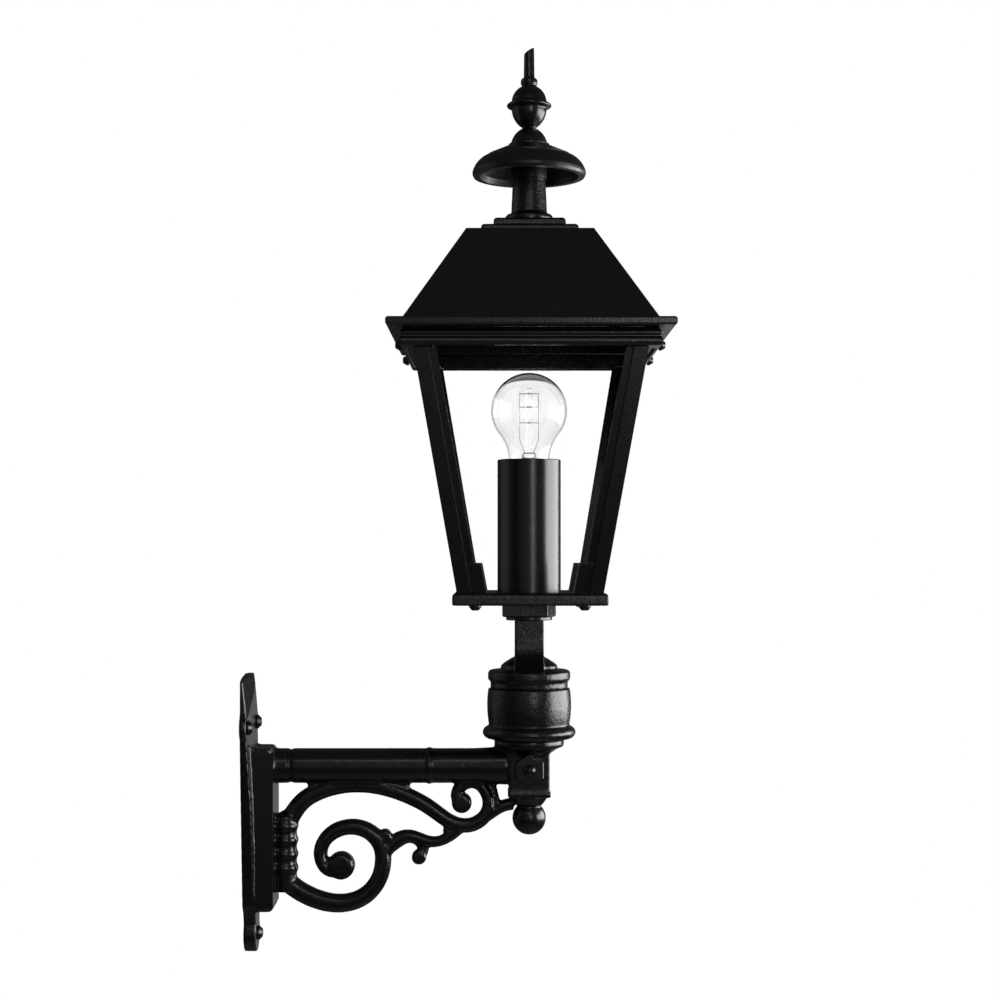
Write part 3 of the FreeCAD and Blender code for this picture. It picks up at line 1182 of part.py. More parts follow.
def bulb():
    """Screw cap, clear glass and the mount that carries the filament."""
    cap_foot_z = f"({glass_foot} - Dim.screw_cap_height)"
    r = "Dim.screw_cap_radius"
    corners = [("0", "0"), ("4.5", "0"), ("6", "2.5"), (f"{r} - 1.5", "4.5")]
    for k in range(3):
        low = 6 + 5 * k
        corners += [(f"{r} - 1.2", f"{low}"), (r, f"{low} + 1.5"), (r, f"{low} + 3"),
                    (f"{r} - 1.2", f"{low} + 4.5")]
    corners += [(f"{r} - 0.6", "Dim.screw_cap_height"), ("0", "Dim.screw_cap_height")]
    screw = turned("bulb_cap", corners, cap_foot_z)
    ball, wall = "Dim.bulb_radius", "Dim.bulb_wall"
    neck = "Dim.bulb_neck"
    rise = "(Dim.bulb_sunk + Dim.bulb_rise)"
    knee_r = f"(0.82 * {ball})"
    knee = f"({rise} - sqrt({ball} ^ 2 - {knee_r} ^ 2))"
    in_ball = f"({ball} - {wall})"
    in_knee = f"({knee_r} - {wall} * 0.82)"
    in_knee_z = f"({rise} - sqrt({in_ball} ^ 2 - {in_knee} ^ 2))"
    glass = turned("bulb_glass", [
        (f"{r} - 2", "0"), (f"{r} - 0.8", "0", ("60", 1, False)), (f"{neck} - 0.6", "10", ("34", -1, False)),
        (knee_r, knee, (ball, 1, False)), (ball, rise, (ball, 1, False)), ("0", f"{rise} + {ball}"),
        ("0", f"{rise} + {in_ball}", (in_ball, -1, False)), (in_ball, rise, (in_ball, -1, False)),
        (in_knee, in_knee_z, ("34.9", 1, False)), (f"{neck} - 0.6 - {wall}", "10.3")],
        glass_foot)
    press, press_top, rod = "Dim.stem_press", "Dim.stem_press_height", "Dim.rod_radius"
    mount = turned("bulb_mount", [
        ("0", "0"), (f"{r} - 3", "0"), (f"{press} + 1", "6"), (press, f"{press_top} - 3"),
        (f"{press} - 0.3", f"{press_top} - 1"), (f"{press} - 1.2", press_top), (rod, press_top),
        (rod, f"{rise} + Dim.rod_top - 0.6"), (f"{rod} - 0.6", f"{rise} + Dim.rod_top"),
        ("0", f"{rise} + Dim.rod_top")], glass_foot)
    return [screw, glass, mount]


def filament():
    """Four upright filaments on hooks at three levels of the rod, and the two leads that feed them."""
    centre = number(f"{tube_top} + Dim.bulb_rise")
    low = centre - number("Dim.filament_low")
    high = centre + number("Dim.filament_high")
    press_top = number(f"{glass_foot} + Dim.stem_press_height")
    ring, wire, arm = (number(f"Dim.filament_{n}") for n in ("ring", "wire", "arm"))
    rod = number("Dim.rod_radius + 0.05")
    lead_foot = number("Dim.stem_press - 2.4")
    axis = Vector(number("Dim.reach"), 0, 0)
    up = Vector(0, 0, 1)
    hub, hub_height = rod + 0.5, 1.0
    middle, lower = low + (high - low) * 0.7, low + (high - low) * 0.36
    wires = []
    for angle in (20, 160, 200, 340):
        turn = math.radians(angle)
        out = Vector(math.cos(turn), math.sin(turn), 0)
        wires.append(Part.makeCylinder(wire, high - low, axis + up * low + out * ring, up))
        for level in (high - wire, middle, lower):
            start = axis + up * level + out * rod
            wires.append(Part.makeCylinder(arm, ring - rod, start, out))
    for level in (high - wire, middle, lower):
        wires.append(Part.makeCylinder(hub, hub_height, axis + up * (level - hub_height / 2), up))
    for side in (-1, 1):
        foot = axis + up * (press_top - 1) + Vector(side * lead_foot, 0, 0)
        tie = ring * math.sin(math.radians(20))
        head = axis + up * (low + arm) + Vector(side * ring * math.cos(math.radians(20)), 0, 0)
        wires.append(Part.makeCylinder(arm, (head - foot).Length + wire, foot, head - foot))
        wires.append(Part.makeCylinder(wire * 0.9, 2 * tie, head - Vector(0, tie, 0), Vector(0, 1, 0)))
    bore = Part.makeCylinder(rod, high - low + 40, axis + up * (low - 20), up)
    stem = Part.makeCylinder(2 * lead_foot, 5, axis + up * (press_top - 5), up)
    made = doc.addObject("Part::Feature", "filament")
    made.Shape = wires[0].multiFuse(wires[1:]).cut(bore).cut(stem)
    return made


nodes = [
    bracket_arm(), wall_bolts(), clamp_bolt(), clamp_nut(), drop_finial(), wiring_drum(),
    drum_cover(), stem_washer(), lock_nut(), conduit(), back_nut(), base_plate(), foot_bolts(),
    post("post_front_left", -1, -1), post("post_front_right", 1, -1),
    post("post_back_left", -1, 1), post("post_back_right", 1, 1),
    top_rail(), corner_screws(), roof_rim(), side_bolts(), roof(), crown(), chimney_cap(), finial(),
    lamp_tube(), lampholder(), *bulb(), filament(),
]
doc.recompute()

faults = [f"{o.Name}: {o.State}" for o in doc.Objects if {"Invalid", "Error"} & set(o.State)]
for node in nodes:
    if node.Shape.isNull() or not node.Shape.isValid() or not node.Shape.Solids:
        faults.append(f"{node.Label}: no valid solid")
if faults:
    raise RuntimeError("; ".join(faults))

os.makedirs("parts", exist_ok=True)
for node in nodes:
    node.Shape.exportStep(f"parts/{node.Label}.step")
    print(node.Label, len(node.Shape.Solids), round(node.Shape.Volume / 1000, 1), "cm3")
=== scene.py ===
import bpy
import math
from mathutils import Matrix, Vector


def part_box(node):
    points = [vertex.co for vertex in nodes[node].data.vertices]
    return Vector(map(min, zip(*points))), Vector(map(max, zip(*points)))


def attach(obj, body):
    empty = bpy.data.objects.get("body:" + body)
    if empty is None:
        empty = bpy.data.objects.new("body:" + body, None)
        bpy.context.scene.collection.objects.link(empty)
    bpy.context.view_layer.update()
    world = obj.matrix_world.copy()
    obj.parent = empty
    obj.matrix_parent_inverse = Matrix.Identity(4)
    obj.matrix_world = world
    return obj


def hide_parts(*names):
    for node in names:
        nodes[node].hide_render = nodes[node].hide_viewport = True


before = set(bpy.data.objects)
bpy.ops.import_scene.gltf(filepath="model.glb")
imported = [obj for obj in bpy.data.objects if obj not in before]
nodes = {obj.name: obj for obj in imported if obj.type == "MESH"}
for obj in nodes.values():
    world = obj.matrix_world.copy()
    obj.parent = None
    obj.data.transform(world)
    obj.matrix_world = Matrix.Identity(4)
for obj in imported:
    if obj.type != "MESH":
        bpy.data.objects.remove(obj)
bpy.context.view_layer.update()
print("frame loaded", len(nodes), "nodes")


def deselectAll():
    if bpy.context.object and bpy.context.object.mode != "OBJECT":
        bpy.ops.object.mode_set(mode="OBJECT")
    bpy.ops.object.select_all(action="DESELECT")


def pickOnly(piece):
    deselectAll()
    piece.select_set(True)
    bpy.context.view_layer.objects.active = piece


def applyModifier(piece, kind, name, **settings):
    pickOnly(piece)
    added = piece.modifiers.new(name, kind)
    for key, value in settings.items():
        setattr(added, key, value)
    bpy.ops.object.modifier_apply(modifier=name)


def finishPiece(piece, name, material, slotName, *replaced):
    piece.name = name
    piece.data.name = name
    piece.data.materials.clear()
    piece.data.materials.append(material)
    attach(piece, "root")
    if replaced:
        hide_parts(*replaced)


def newMaterial(name):
    made = bpy.data.materials.new(name)
    made.use_nodes = True
    return made, made.node_tree.nodes, made.node_tree.links, made.node_tree.nodes["Principled BSDF"]


def noiseField(tree, links, place, scale, detail=2.0, roughness=0.5):
    field = tree.new("ShaderNodeTexNoise")
    field.inputs["Scale"].default_value = scale
    field.inputs["Detail"].default_value = detail
    field.inputs["Roughness"].default_value = roughness
    links.new(place.outputs["Object"], field.inputs["Vector"])
    return field.outputs["Fac"]


def spreadOver(tree, links, source, low, high, start=0.3, stop=0.7):
    spread = tree.new("ShaderNodeMapRange")
    spread.inputs["From Min"].default_value = start
    spread.inputs["From Max"].default_value = stop
    spread.inputs["To Min"].default_value = low
    spread.inputs["To Max"].default_value = high
    links.new(source, spread.inputs["Value"])
    return spread.outputs["Result"]


def tintOver(tree, links, source, low, high, start=0.3, stop=0.7):
    tint = tree.new("ShaderNodeValToRGB")
    tint.color_ramp.elements[0].position = start
    tint.color_ramp.elements[1].position = stop
    tint.color_ramp.elements[0].color = (*low, 1.0)
    tint.color_ramp.elements[1].color = (*high, 1.0)
    links.new(source, tint.inputs["Fac"])
    return tint.outputs["Color"]


def bumpOver(tree, links, source, depth, under=None, strength=1.0):
    relief = tree.new("ShaderNodeBump")
    relief.inputs["Strength"].default_value = strength
    relief.inputs["Distance"].default_value = depth
    links.new(source, relief.inputs["Height"])
    if under is not None:
        links.new(under, relief.inputs["Normal"])
    return relief.outputs["Normal"]


def paintMaterial(name, look):
    made, tree, links, shader = newMaterial(name)
    shader.inputs["Metallic"].default_value = 0.0
    shader.inputs["IOR"].default_value = look["ior"]
    place = tree.new("ShaderNodeTexCoord")
    cloud = noiseField(tree, links, place, look["cloudScale"], look["cloudDetail"])
    paint = tintOver(tree, links, cloud, look["darkTint"], look["lightTint"])
    corner = tree.new("ShaderNodeNewGeometry")  # edges that are rubbed a little thinner
    rubbed = spreadOver(tree, links, corner.outputs["Pointiness"], 0.0, look["edgeWear"],
                        look["edgeStart"], look["edgeStop"])
    blend = tree.new("ShaderNodeMix")
    blend.data_type = "RGBA"
    links.new(rubbed, blend.inputs["Factor"])
    links.new(paint, blend.inputs["A"])
    blend.inputs["B"].default_value = (*look["edgeTint"], 1.0)
    links.new(blend.outputs["Result"], shader.inputs["Base Color"])
    gloss = noiseField(tree, links, place, look["glossScale"])
    rough = spreadOver(tree, links, gloss, look["roughLow"], look["roughHigh"])
    links.new(rough, shader.inputs["Roughness"])
    peel = noiseField(tree, links, place, look["peelScale"], look["peelDetail"])
    grain = noiseField(tree, links, place, look["grainScale"], roughness=look["grainRoughness"])
    skin = bumpOver(tree, links, peel, look["peelDepth"])
    skin = bumpOver(tree, links, grain, look["grainDepth"], skin)
    links.new(skin, shader.inputs["Normal"])
    return made


paintLooks = {
    "black_casting": dict(peelScale=260.0, peelDepth=0.0001, grainScale=1300.0, grainDepth=0.00003,
                          roughLow=0.2, roughHigh=0.28, glossScale=500.0, cloudScale=60.0),
    "drumCasting": dict(peelScale=560.0, peelDepth=0.00018, grainScale=1500.0, grainDepth=0.00005,
                        roughLow=0.22, roughHigh=0.34, glossScale=700.0, cloudScale=90.0),
    "chimneyPaint": dict(peelScale=560.0, peelDepth=0.00012, grainScale=1500.0, grainDepth=0.00004,
                         roughLow=0.22, roughHigh=0.32, glossScale=700.0, cloudScale=90.0),
    "rimCasting": dict(peelScale=480.0, peelDepth=0.0001, grainScale=1500.0, grainDepth=0.00003,
                       roughLow=0.2, roughHigh=0.3, glossScale=700.0, cloudScale=90.0),
    "baseCasting": dict(peelScale=480.0, peelDepth=0.0001, grainScale=1500.0, grainDepth=0.00003,
                        roughLow=0.26, roughHigh=0.34, glossScale=700.0, cloudScale=90.0),
    "black_frame": dict(peelScale=300.0, peelDepth=0.0001, grainScale=1400.0, grainDepth=0.00003,
                        roughLow=0.22, roughHigh=0.28, glossScale=500.0, cloudScale=60.0),
    "black_sheet": dict(peelScale=180.0, peelDepth=0.00006, grainScale=1600.0, grainDepth=0.00002,
                        roughLow=0.3, roughHigh=0.4, glossScale=300.0, cloudScale=30.0),
    "tubeSheet": dict(peelScale=220.0, peelDepth=0.00004, grainScale=1600.0, grainDepth=0.00001,
                      roughLow=0.22, roughHigh=0.27, glossScale=300.0, cloudScale=30.0),
    "black_steel": dict(peelScale=700.0, peelDepth=0.00006, grainScale=2200.0, grainDepth=0.00002,
                        roughLow=0.2, roughHigh=0.32, glossScale=800.0, cloudScale=200.0),
}
paintCommon = dict(ior=1.8, darkTint=(0.005, 0.005, 0.0055), lightTint=(0.009, 0.009, 0.0095),
                   edgeTint=(0.02, 0.02, 0.021), edgeWear=0.6, edgeStart=0.53, edgeStop=0.62,
                   cloudDetail=3.0, peelDetail=1.5, grainRoughness=0.6)
materials = {}
for name, look in paintLooks.items():
    materials[name] = paintMaterial(name, {**paintCommon, **look})


def steelMaterial(look):
    made, tree, links, shader = newMaterial("plain_steel")
    shader.inputs["Metallic"].default_value = 1.0
    shader.inputs["Base Color"].default_value = (*look["tint"], 1.0)
    place = tree.new("ShaderNodeTexCoord")
    turn = tree.new("ShaderNodeTexWave")
    turn.bands_direction = "Z"
    turn.inputs["Scale"].default_value = look["threadScale"]
    turn.inputs["Distortion"].default_value = look["threadBend"]
    links.new(place.outputs["Object"], turn.inputs["Vector"])
    thread = bumpOver(tree, links, turn.outputs["Fac"], look["threadDepth"],
                      strength=look["threadStrength"])
    links.new(thread, shader.inputs["Normal"])
    gloss = noiseField(tree, links, place, look["glossScale"])
    rough = spreadOver(tree, links, gloss, look["roughLow"], look["roughHigh"], start=0.0, stop=1.0)
    links.new(rough, shader.inputs["Roughness"])
    return made


materials["plain_steel"] = steelMaterial(dict(
    tint=(0.48, 0.48, 0.5), threadScale=400.0, threadBend=0.3, threadDepth=0.0004,
    threadStrength=0.4, glossScale=300.0, roughLow=0.25, roughHigh=0.45))


def cloudedMaterial(name, look):
    made, tree, links, shader = newMaterial(name)
    for socket, value in look["sockets"].items():
        shader.inputs[socket].default_value = value
    place = tree.new("ShaderNodeTexCoord")
    cloud = noiseField(tree, links, place, look["cloudScale"])
    tint = tintOver(tree, links, cloud, look["low"], look["high"], start=0.0, stop=1.0)
    links.new(tint, shader.inputs["Base Color"])
    return made


cloudedLooks = {
    "white_holder": dict(low=(0.72, 0.71, 0.68), high=(0.82, 0.81, 0.78), cloudScale=120.0,
                         sockets={"IOR": 1.5, "Coat Weight": 0.6, "Coat Roughness": 0.08,
                                  "Roughness": 0.3}),
    "bulb_brass": dict(low=(0.52, 0.4, 0.2), high=(0.66, 0.52, 0.28), cloudScale=250.0,
                       sockets={"Metallic": 1.0, "Roughness": 0.28}),
    "bulb_wire": dict(low=(0.42, 0.41, 0.4), high=(0.6, 0.59, 0.58), cloudScale=900.0,
                      sockets={"Metallic": 1.0, "Roughness": 0.35}),
}
for name, look in cloudedLooks.items():
    materials[name] = cloudedMaterial(name, look)


def glassMaterial(name, look):
    made, tree, links, shader = newMaterial(name)
    shader.inputs["Base Color"].default_value = (1.0, 1.0, 1.0, 1.0)
    shader.inputs["Transmission Weight"].default_value = 1.0
    shader.inputs["IOR"].default_value = look["ior"]
    place = tree.new("ShaderNodeTexCoord")
    haze = noiseField(tree, links, place, look["hazeScale"])
    rough = spreadOver(tree, links, haze, 0.0, look["rough"], start=0.0, stop=1.0)
    links.new(rough, shader.inputs["Roughness"])
    return made


glassLooks = {
    "bulb_glass": dict(ior=1.5, rough=0.02, hazeScale=40.0),
    "bulb_mount_glass": dict(ior=1.5, rough=0.04, hazeScale=40.0),
}
for name, look in glassLooks.items():
    materials[name] = glassMaterial(name, look)

nodeSlots = {
    "black_casting": ["bracket_arm", "drop_finial", "wiring_drum", "drum_cover", "base_plate",
                      "roof_rim", "chimney", "finial"],
    "black_frame": ["post_front_left", "post_front_right", "post_back_left", "post_back_right",
                    "top_rail"],
    "black_sheet": ["roof", "chimney_cap", "lamp_tube"],
    "black_steel": ["wall_bolts", "clamp_bolt", "clamp_nut", "stem_washer", "lock_nut", "foot_bolts",
                    "corner_screws", "side_bolts"],
    "plain_steel": ["conduit", "back_nut"],
    "white_holder": ["lampholder"],
    "bulb_brass": ["bulb_cap"],
    "bulb_glass": ["bulb_glass"],
    "bulb_mount_glass": ["bulb_mount"],
    "bulb_wire": ["filament"],
}
for slotName, names in nodeSlots.items():
    for name in names:
        for holder in nodes[name].material_slots:
            holder.material = materials[slotName]
for holder in nodes["lamp_tube"].material_slots:
    holder.material = materials["tubeSheet"]
print("materials on the nodes")


# the castings: softened copies of the solids, with the sand mould's unevenness

# the boss has square edges, so a crisp block is united with the softened casting there
bossLook = {"start": 0.002, "depth": 0.024, "half": 0.0193, "low": -0.0736, "high": 0.0473,
            "edge": 0.0003}

castings = {
    "bracketCasting": dict(node="bracket_arm", voxel=0.00104, rounds=5, wave=0.004, depth=0.00015,
                           block=bossLook),
    "dropCasting": dict(node="drop_finial", voxel=0.0005, rounds=2, wave=0.004, depth=0.0001),
    "drumBody": dict(node="wiring_drum", voxel=0.0009, rounds=2, wave=0.003, depth=0.00022,
                     paint="drumCasting"),
    "drumCover": dict(node="drum_cover", voxel=0.0009, rounds=2, wave=0.003, depth=0.00022,
                      paint="drumCasting"),
    "basePlateCasting": dict(node="base_plate", voxel=0.0011, rounds=3, wave=0.0026, depth=0.0004,
                             paint="baseCasting"),
    "topRailMoulding": dict(node="top_rail", voxel=0.0009, rounds=2, wave=0.004, depth=0.00012),
    "chimneyCasting": dict(node="chimney", voxel=0.0009, rounds=6, wave=0.003, depth=0.00025,
                           paint="chimneyPaint"),
    "finialCasting": dict(node="finial", voxel=0.0005, rounds=2, wave=0.004, depth=0.00012),
}


mergeReach = 0.000001  # points nearer than this are one point
sandOctaves = 2
softenShare = 0.5


def dressPiece(piece, name, look):
    slotName = next(slot for slot, held in nodeSlots.items() if look["node"] in held)
    finishPiece(piece, name, materials[look.get("paint", slotName)], slotName, look["node"])


def keepInBox(piece, nodeName):
    low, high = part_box(nodeName)
    for vertex in piece.data.vertices:
        for axis in range(3):
            vertex.co[axis] = min(max(vertex.co[axis], low[axis]), high[axis])


def mergedCopy(name, nodeName):
    made = bpy.data.objects.new(name, nodes[nodeName].data.copy())
    bpy.context.scene.collection.objects.link(made)
    pickOnly(made)
    if made.data.has_custom_normals:
        bpy.ops.mesh.customdata_custom_splitnormals_clear()
    bpy.ops.object.mode_set(mode="EDIT")
    bpy.ops.mesh.select_all(action="SELECT")
    bpy.ops.mesh.remove_doubles(threshold=mergeReach)
    bpy.ops.object.mode_set(mode="OBJECT")
    return made


def joinBlock(casting, look):
    deselectAll()
    bpy.ops.mesh.primitive_cube_add(
        size=1.0,
        location=((look["start"] + look["depth"]) / 2, 0.0, (look["low"] + look["high"]) / 2),
        scale=(look["depth"] - look["start"], 2 * look["half"], look["high"] - look["low"]))
    block = bpy.context.object
    bpy.ops.object.transform_apply(location=True, rotation=True, scale=True)
    applyModifier(block, "BEVEL", "brokenEdge", width=look["edge"], segments=2)
    applyModifier(casting, "BOOLEAN", "bossBlock", operation="UNION", solver="EXACT", object=block)
    pickOnly(block)
    bpy.ops.object.delete()


def castCopy(name, look):
    made = mergedCopy(name, look["node"])
    applyModifier(made, "REMESH", "skin", mode="VOXEL", voxel_size=look["voxel"],
                  use_smooth_shade=True)
    applyModifier(made, "SMOOTH", "soften", factor=softenShare, iterations=look["rounds"])
    sand = bpy.data.textures.new(name + "Sand", "CLOUDS")
    sand.noise_scale = look["wave"]
    sand.noise_depth = sandOctaves
    applyModifier(made, "DISPLACE", "sandMarks", texture=sand, strength=look["depth"],
                  mid_level=0.5, texture_coords="LOCAL")
    if "block" in look:
        joinBlock(made, look["block"])
    keepInBox(made, look["node"])
    dressPiece(made, name, look)
    return made


for name, look in castings.items():
    casting = castCopy(name, look)
    print(name, len(casting.data.polygons), "faces")


# the posts, the folded roof, the rim and the bolts: true edges, only just broken

edged = {
    "postFrontLeft": dict(node="post_front_left", width=0.0003),
    "postFrontRight": dict(node="post_front_right", width=0.0003),
    "postBackLeft": dict(node="post_back_left", width=0.0003),
    "postBackRight": dict(node="post_back_right", width=0.0003),
    "roofSheet": dict(node="roof", width=0.0004),
    "roofRimPlate": dict(node="roof_rim", width=0.0005, paint="rimCasting", squareBelow=0.0018),
    "clampBolt": dict(node="clamp_bolt", width=0.0003),
    "footBolts": dict(node="foot_bolts", width=0.0003),
    "sideBolts": dict(node="side_bolts", width=0.0003),
    "wallBolts": dict(node="wall_bolts", width=0.0003),
}


edgeAngles = {"smoothBelow": 32.0, "flatBelow": 0.5, "brokenAbove": 40.0}  # degrees
lowestBand = 0.0002


def levelFaces(piece):
    pickOnly(piece)
    bpy.ops.object.shade_smooth_by_angle(angle=math.radians(edgeAngles["smoothBelow"]))
    applyModifier(piece, "WEIGHTED_NORMAL", "levelFaces", mode="FACE_AREA", weight=100,
                  keep_sharp=True)


def squareBelow(piece, nodeName, reach):
    low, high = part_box(nodeName)
    for vertex in piece.data.vertices:
        if vertex.co.z < low[2] + lowestBand:
            for axis in (0, 1):
                if vertex.co[axis] < low[axis] + reach:
                    vertex.co[axis] = low[axis]
                elif vertex.co[axis] > high[axis] - reach:
                    vertex.co[axis] = high[axis]


def edgedCopy(name, look):
    made = mergedCopy(name, look["node"])
    if "squareBelow" in look:
        squareBelow(made, look["node"], look["squareBelow"])
    bpy.ops.object.mode_set(mode="EDIT")
    bpy.ops.mesh.select_all(action="SELECT")
    bpy.ops.mesh.dissolve_limited(angle_limit=math.radians(edgeAngles["flatBelow"]))
    bpy.ops.object.mode_set(mode="OBJECT")
    applyModifier(made, "BEVEL", "brokenEdge", width=look["width"], segments=2,
                  limit_method="ANGLE", angle_limit=math.radians(edgeAngles["brokenAbove"]),
                  use_clamp_overlap=True)
    levelFaces(made)
    keepInBox(made, look["node"])
    dressPiece(made, name, look)
    return made


for name, look in edged.items():
    piece = edgedCopy(name, look)
    print(name, len(piece.data.polygons), "faces")


# the hexagon nuts that are seen: the heavy one on the clamp bolt, the lock nut on the stem

nuts = {
    "clampNut": dict(node="clamp_nut", axis=1, lean=(90.0, 0.0, 0.0), flats=0.0222, chamfer=0.0014,
                     edge=0.0003),
    "lockNut": dict(node="lock_nut", axis=2, lean=(0.0, 0.0, 41.0), flats=0.0377, chamfer=0.0016,
                    edge=0.0024),
}


nutCommon = {"sides": 6, "segments": 3, "downFacing": -0.9, "brokenAbove": 20.0}


def hexNut(name, look):
    low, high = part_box(look["node"])
    middle = [(a + b) / 2 for a, b in zip(low, high)]
    axis = look["axis"]
    deselectAll()
    bpy.ops.mesh.primitive_cylinder_add(vertices=look["sides"],
                                        radius=look["flats"] / math.sqrt(3.0),
                                        depth=high[axis] - low[axis], location=middle,
                                        rotation=[math.radians(angle) for angle in look["lean"]])
    nut = bpy.context.object
    bpy.ops.object.transform_apply(location=True, rotation=True, scale=True)
    bpy.ops.object.mode_set(mode="EDIT")
    bpy.ops.mesh.select_all(action="DESELECT")
    bpy.ops.object.mode_set(mode="OBJECT")
    for face in nut.data.polygons:
        face.select = face.normal[axis] < look["downFacing"]
    bpy.ops.object.mode_set(mode="EDIT")
    bpy.ops.mesh.bevel(offset=look["chamfer"], segments=look["segments"], affect="EDGES")
    bpy.ops.object.mode_set(mode="OBJECT")
    applyModifier(nut, "BEVEL", "brokenEdge", width=look["edge"], segments=look["segments"],
                  limit_method="ANGLE", angle_limit=math.radians(look["brokenAbove"]))
    levelFaces(nut)
    dressPiece(nut, name, look)


for name, look in nuts.items():
    hexNut(name, {**nutCommon, **look})
print("hexagon nuts")


# the clear bulb: blown glass with a thin wall, spun from its outline

bulbLook = {
    "axis": 0.224,
    "footRadius": 0.0124,
    "footLift": 0.0002,
    "footBend": 0.06,
    "neckRadius": 0.0159,
    "neckRise": 0.010,
    "kneeShare": 0.82,
    "kneeBend": 0.034,
    "ballRadius": 0.0299,
    "wall": 0.0005,
    "topWall": 0.001,
    "steps": 96,
    "footSteps": 4,
    "neckSteps": 10,
    "cheekSteps": 8,
    "crownSteps": 24,
    "seamReach": 0.000005,
}


def arcBetween(start, end, radius, turn, count):
    span = end - start
    middle = (start + end) / 2
    rise = math.sqrt(max(radius ** 2 - (span.length / 2) ** 2, 0.0))
    side = Vector((-span.y, span.x)).normalized()
    centre = middle + side * rise * turn
    first = math.atan2(start.y - centre.y, start.x - centre.x)
    last = math.atan2(end.y - centre.y, end.x - centre.x)
    sweep = (last - first + math.pi) % (2 * math.pi) - math.pi
    angles = [first + sweep * k / count for k in range(1, count + 1)]
    return [centre + radius * Vector((math.cos(angle), math.sin(angle))) for angle in angles]


def spunPiece(outline, axis, steps, seamReach):
    deselectAll()
    across, low = outline[0]
    bpy.ops.mesh.primitive_plane_add(size=0.001, location=(0.0, 0.0, 0.0))
    made = bpy.context.object
    bpy.ops.object.mode_set(mode="EDIT")
    bpy.ops.mesh.select_all(action="SELECT")
    bpy.ops.mesh.merge(type="CENTER")
    bpy.ops.transform.translate(value=(axis + across, 0.0, low))
    for (lastAcross, lastHigh), (nextAcross, nextHigh) in zip(outline, outline[1:]):
        step = (nextAcross - lastAcross, 0.0, nextHigh - lastHigh)
        bpy.ops.mesh.extrude_region_move(TRANSFORM_OT_translate={"value": step})
    bpy.ops.mesh.select_all(action="SELECT")
    bpy.ops.mesh.spin(steps=steps, angle=2 * math.pi, center=(axis, 0.0, 0.0),
                      axis=(0.0, 0.0, 1.0))
    bpy.ops.mesh.select_all(action="SELECT")
    bpy.ops.mesh.remove_doubles(threshold=seamReach)
    bpy.ops.mesh.normals_make_consistent(inside=False)
    bpy.ops.object.mode_set(mode="OBJECT")
    bpy.ops.object.shade_smooth()
    return made


def blownGlass(look):
    low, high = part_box("bulb_glass")
    foot, ball = low[2], look["ballRadius"]
    centre = high[2] - ball
    knee = Vector((look["kneeShare"] * ball, centre - ball * math.sqrt(1 - look["kneeShare"] ** 2)))
    neck = Vector((look["neckRadius"], foot + look["neckRise"]))
    waist, top = Vector((ball, centre)), Vector((0.0, centre + ball))
    outline = [Vector((look["footRadius"], foot + look["footLift"]))]
    outline += arcBetween(outline[0], neck, look["footBend"], 1, look["footSteps"])
    outline += arcBetween(neck, knee, look["kneeBend"], -1, look["neckSteps"])
    outline += arcBetween(knee, waist, ball, 1, look["cheekSteps"])
    outline += arcBetween(waist, top, ball, 1, look["crownSteps"])
    inside = []
    for k, point in enumerate(outline):
        before, after = outline[max(k - 1, 0)], outline[min(k + 1, len(outline) - 1)]
        along = (after - before).normalized()
        rise = max(point.y - centre, 0.0) / ball
        wall = look["wall"] + (look["topWall"] - look["wall"]) * rise ** 2
        inner = point - wall * Vector((along.y, -along.x))
        inside.append(Vector((max(inner.x, 0.0), inner.y)))
    inside[-1] = Vector((0.0, centre + ball - look["topWall"]))
    ring = outline + inside[::-1] + outline[:1]
    made = spunPiece([tuple(point) for point in ring], look["axis"], look["steps"],
                     look["seamReach"])
    finishPiece(made, "bulbGlassShell", materials["bulb_glass"], "bulb_glass", "bulb_glass")


blownGlass(bulbLook)
print("bulb glass")


# the filament and its hooks, thinned to real wire

def thinWires(look):
    made = mergedCopy("filamentWires", "filament")
    applyModifier(made, "DISPLACE", "thin", strength=-look["thinnerBy"], mid_level=0.0)
    finishPiece(made, "filamentWires", materials["bulb_wire"], "bulb_wire", "filament")


thinWires({"thinnerBy": 0.00012})
print("filament")


# a pale floor and a white backdrop: the camera and glass see them as white all round, gloss only
# behind the lamp to its right

stageLook = {
    "floorHeight": -1.5,
    "floorSize": 24.0,
    "floorMiddle": 0.2,
    "floorTint": (0.3, 0.3, 0.3),
    "floorRough": 0.9,
    "sweepStart": 2.5,
    "sweepStop": 4.5,
    "sweepLeft": 0.3,
    "sweepRight": 0.6,
    "shadeReach": 1.6,
    "shadeSamples": 8,
    "worldLight": 0.045,
    "backdropSeen": 0.3,
    "backdropStart": 0.95,
    "backdropStop": 0.985,
    "sideStart": 0.05,
    "sideStop": 0.11,
}


def mathOver(tree, links, operation, first, second):
    step = tree.new("ShaderNodeMath")
    step.operation = operation
    links.new(first, step.inputs[0])
    links.new(second, step.inputs[1])
    return step.outputs[0]


def whiteShare(tree, links, source, share, depthSpan, sideSpan):
    way = tree.new("ShaderNodeSeparateXYZ")
    links.new(source, way.inputs["Vector"])
    behind = spreadOver(tree, links, way.outputs["Y"], 0.0, share, *depthSpan)
    beside = spreadOver(tree, links, way.outputs["X"], 0.0, 1.0, *sideSpan)
    where = mathOver(tree, links, "MULTIPLY", behind, beside)
    ray = tree.new("ShaderNodeLightPath")
    glossy = mathOver(tree, links, "MULTIPLY", where, ray.outputs["Is Glossy Ray"])
    direct = mathOver(tree, links, "MAXIMUM", ray.outputs["Is Camera Ray"],
                      ray.outputs["Is Transmission Ray"])
    return mathOver(tree, links, "MAXIMUM", direct, glossy)


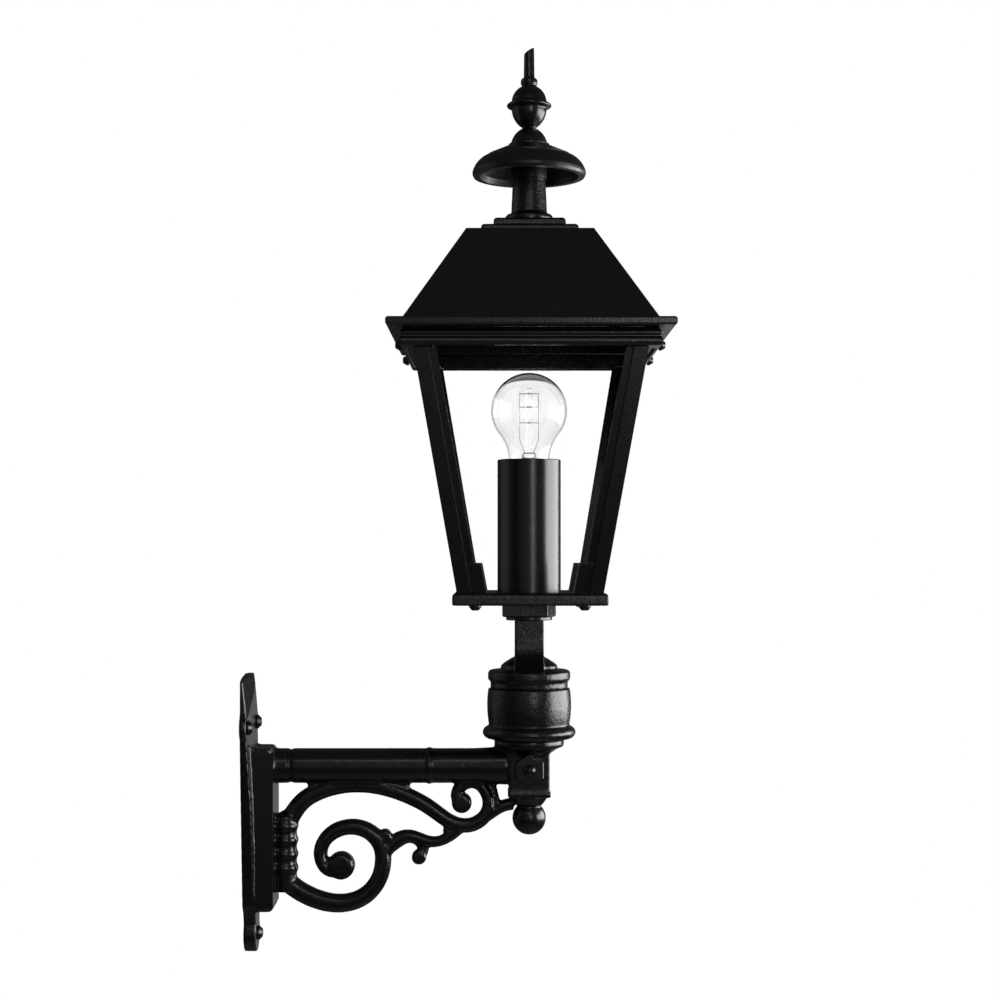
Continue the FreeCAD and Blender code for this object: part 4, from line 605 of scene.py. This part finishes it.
def mixInto(tree, links, end, share, usual, white):
    mix = tree.new("ShaderNodeMixShader")
    links.new(share, mix.inputs["Fac"])
    links.new(usual.outputs[0], mix.inputs[1])
    links.new(white.outputs[0], mix.inputs[2])
    links.new(mix.outputs[0], end.inputs["Surface"])


def backdropWorld(look):
    world = bpy.data.worlds.new("studio")
    bpy.context.scene.world = world
    world.use_nodes = True
    tree, links = world.node_tree.nodes, world.node_tree.links
    tree.clear()
    end = tree.new("ShaderNodeOutputWorld")
    place = tree.new("ShaderNodeTexCoord")
    share = whiteShare(tree, links, place.outputs["Generated"], look["backdropSeen"],
                       (look["backdropStart"], look["backdropStop"]),
                       (look["sideStart"], look["sideStop"]))
    soft = tree.new("ShaderNodeBackground")
    soft.inputs["Color"].default_value = (1.0, 1.0, 1.0, 1.0)
    soft.inputs["Strength"].default_value = look["worldLight"]
    white = tree.new("ShaderNodeBackground")
    white.inputs["Color"].default_value = (1.0, 1.0, 1.0, 1.0)
    mixInto(tree, links, end, share, soft, white)


def paleFloor(look):
    deselectAll()
    bpy.ops.mesh.primitive_plane_add(size=look["floorSize"],
                                     location=(look["floorMiddle"], 0.0, look["floorHeight"]))
    floor = bpy.context.object
    floor.name = "floor"
    made, tree, links, shader = newMaterial("floorPaper")
    shader.inputs["Base Color"].default_value = (*look["floorTint"], 1.0)
    shader.inputs["Roughness"].default_value = look["floorRough"]
    place = tree.new("ShaderNodeNewGeometry")
    share = whiteShare(tree, links, place.outputs["Position"], look["backdropSeen"],
                       (look["sweepStart"], look["sweepStop"]),
                       (look["sweepLeft"], look["sweepRight"]))
    shade = tree.new("ShaderNodeAmbientOcclusion")  # the lamp's soft shadow on the white paper
    shade.inputs["Distance"].default_value = look["shadeReach"]
    shade.samples = look["shadeSamples"]
    paper = tree.new("ShaderNodeEmission")
    links.new(shade.outputs["Color"], paper.inputs["Color"])
    mixInto(tree, links, tree["Material Output"], share, shader, paper)
    floor.data.materials.append(made)


backdropWorld(stageLook)
paleFloor(stageLook)


def addLight(name, look):
    shape = bpy.data.lights.new(name, "AREA")
    shape.shape = "RECTANGLE"
    shape.size, shape.size_y = look["size"]
    shape.energy = look["power"]
    shape.color = look["tint"]
    lamp = bpy.data.objects.new(name, shape)
    bpy.context.scene.collection.objects.link(lamp)
    lamp.location = look["spot"]
    aim = Vector(look["aim"]) - Vector(look["spot"])
    lamp.rotation_euler = aim.to_track_quat("-Z", "Y").to_euler()


lights = {
    "rightKey": dict(size=(2.0, 0.85), power=27.0, tint=(0.96, 0.98, 1.0), spot=(1.72, 0.13, 0.2),
                     aim=(0.22, 0.0, 0.2)),
    "frontSoft": dict(size=(0.35, 0.65), power=1.3, tint=(1.0, 1.0, 1.0), spot=(0.64, -1.79, 0.44),
                      aim=(0.2, 0.0, 0.25)),
    "frontWide": dict(size=(2.0, 1.2), power=0.45, tint=(1.0, 1.0, 1.0), spot=(0.1, -1.95, 0.3),
                      aim=(0.1, 0.0, 0.3)),
    "topSoft": dict(size=(1.0, 0.3), power=0.7, tint=(1.0, 1.0, 1.0), spot=(0.25, -1.5, 1.16),
                    aim=(0.2, 0.0, 0.05)),
    "leftFill": dict(size=(1.2, 2.0), power=1.0, tint=(0.97, 0.98, 1.0), spot=(-1.3, 0.26, 0.4),
                     aim=(0.1, 0.0, 0.25)),
}
for name, look in lights.items():
    addLight(name, look)

cameraLook = {"spot": (0.201, -1.422, 0.2056), "lens": 64.8, "sensor": 36.0, "shiftUp": 0.05,
              "tilt": 90.0}
eyeData = bpy.data.cameras.new("camera")
eyeData.lens = cameraLook["lens"]
eyeData.sensor_width = cameraLook["sensor"]
eyeData.shift_y = cameraLook["shiftUp"]
eye = bpy.data.objects.new("camera", eyeData)
bpy.context.scene.collection.objects.link(eye)
eye.location = cameraLook["spot"]
eye.rotation_euler = (math.radians(cameraLook["tilt"]), 0.0, 0.0)
bpy.context.scene.camera = eye
bpy.context.scene.view_settings.view_transform = "Standard"

print("stage, lights and camera")
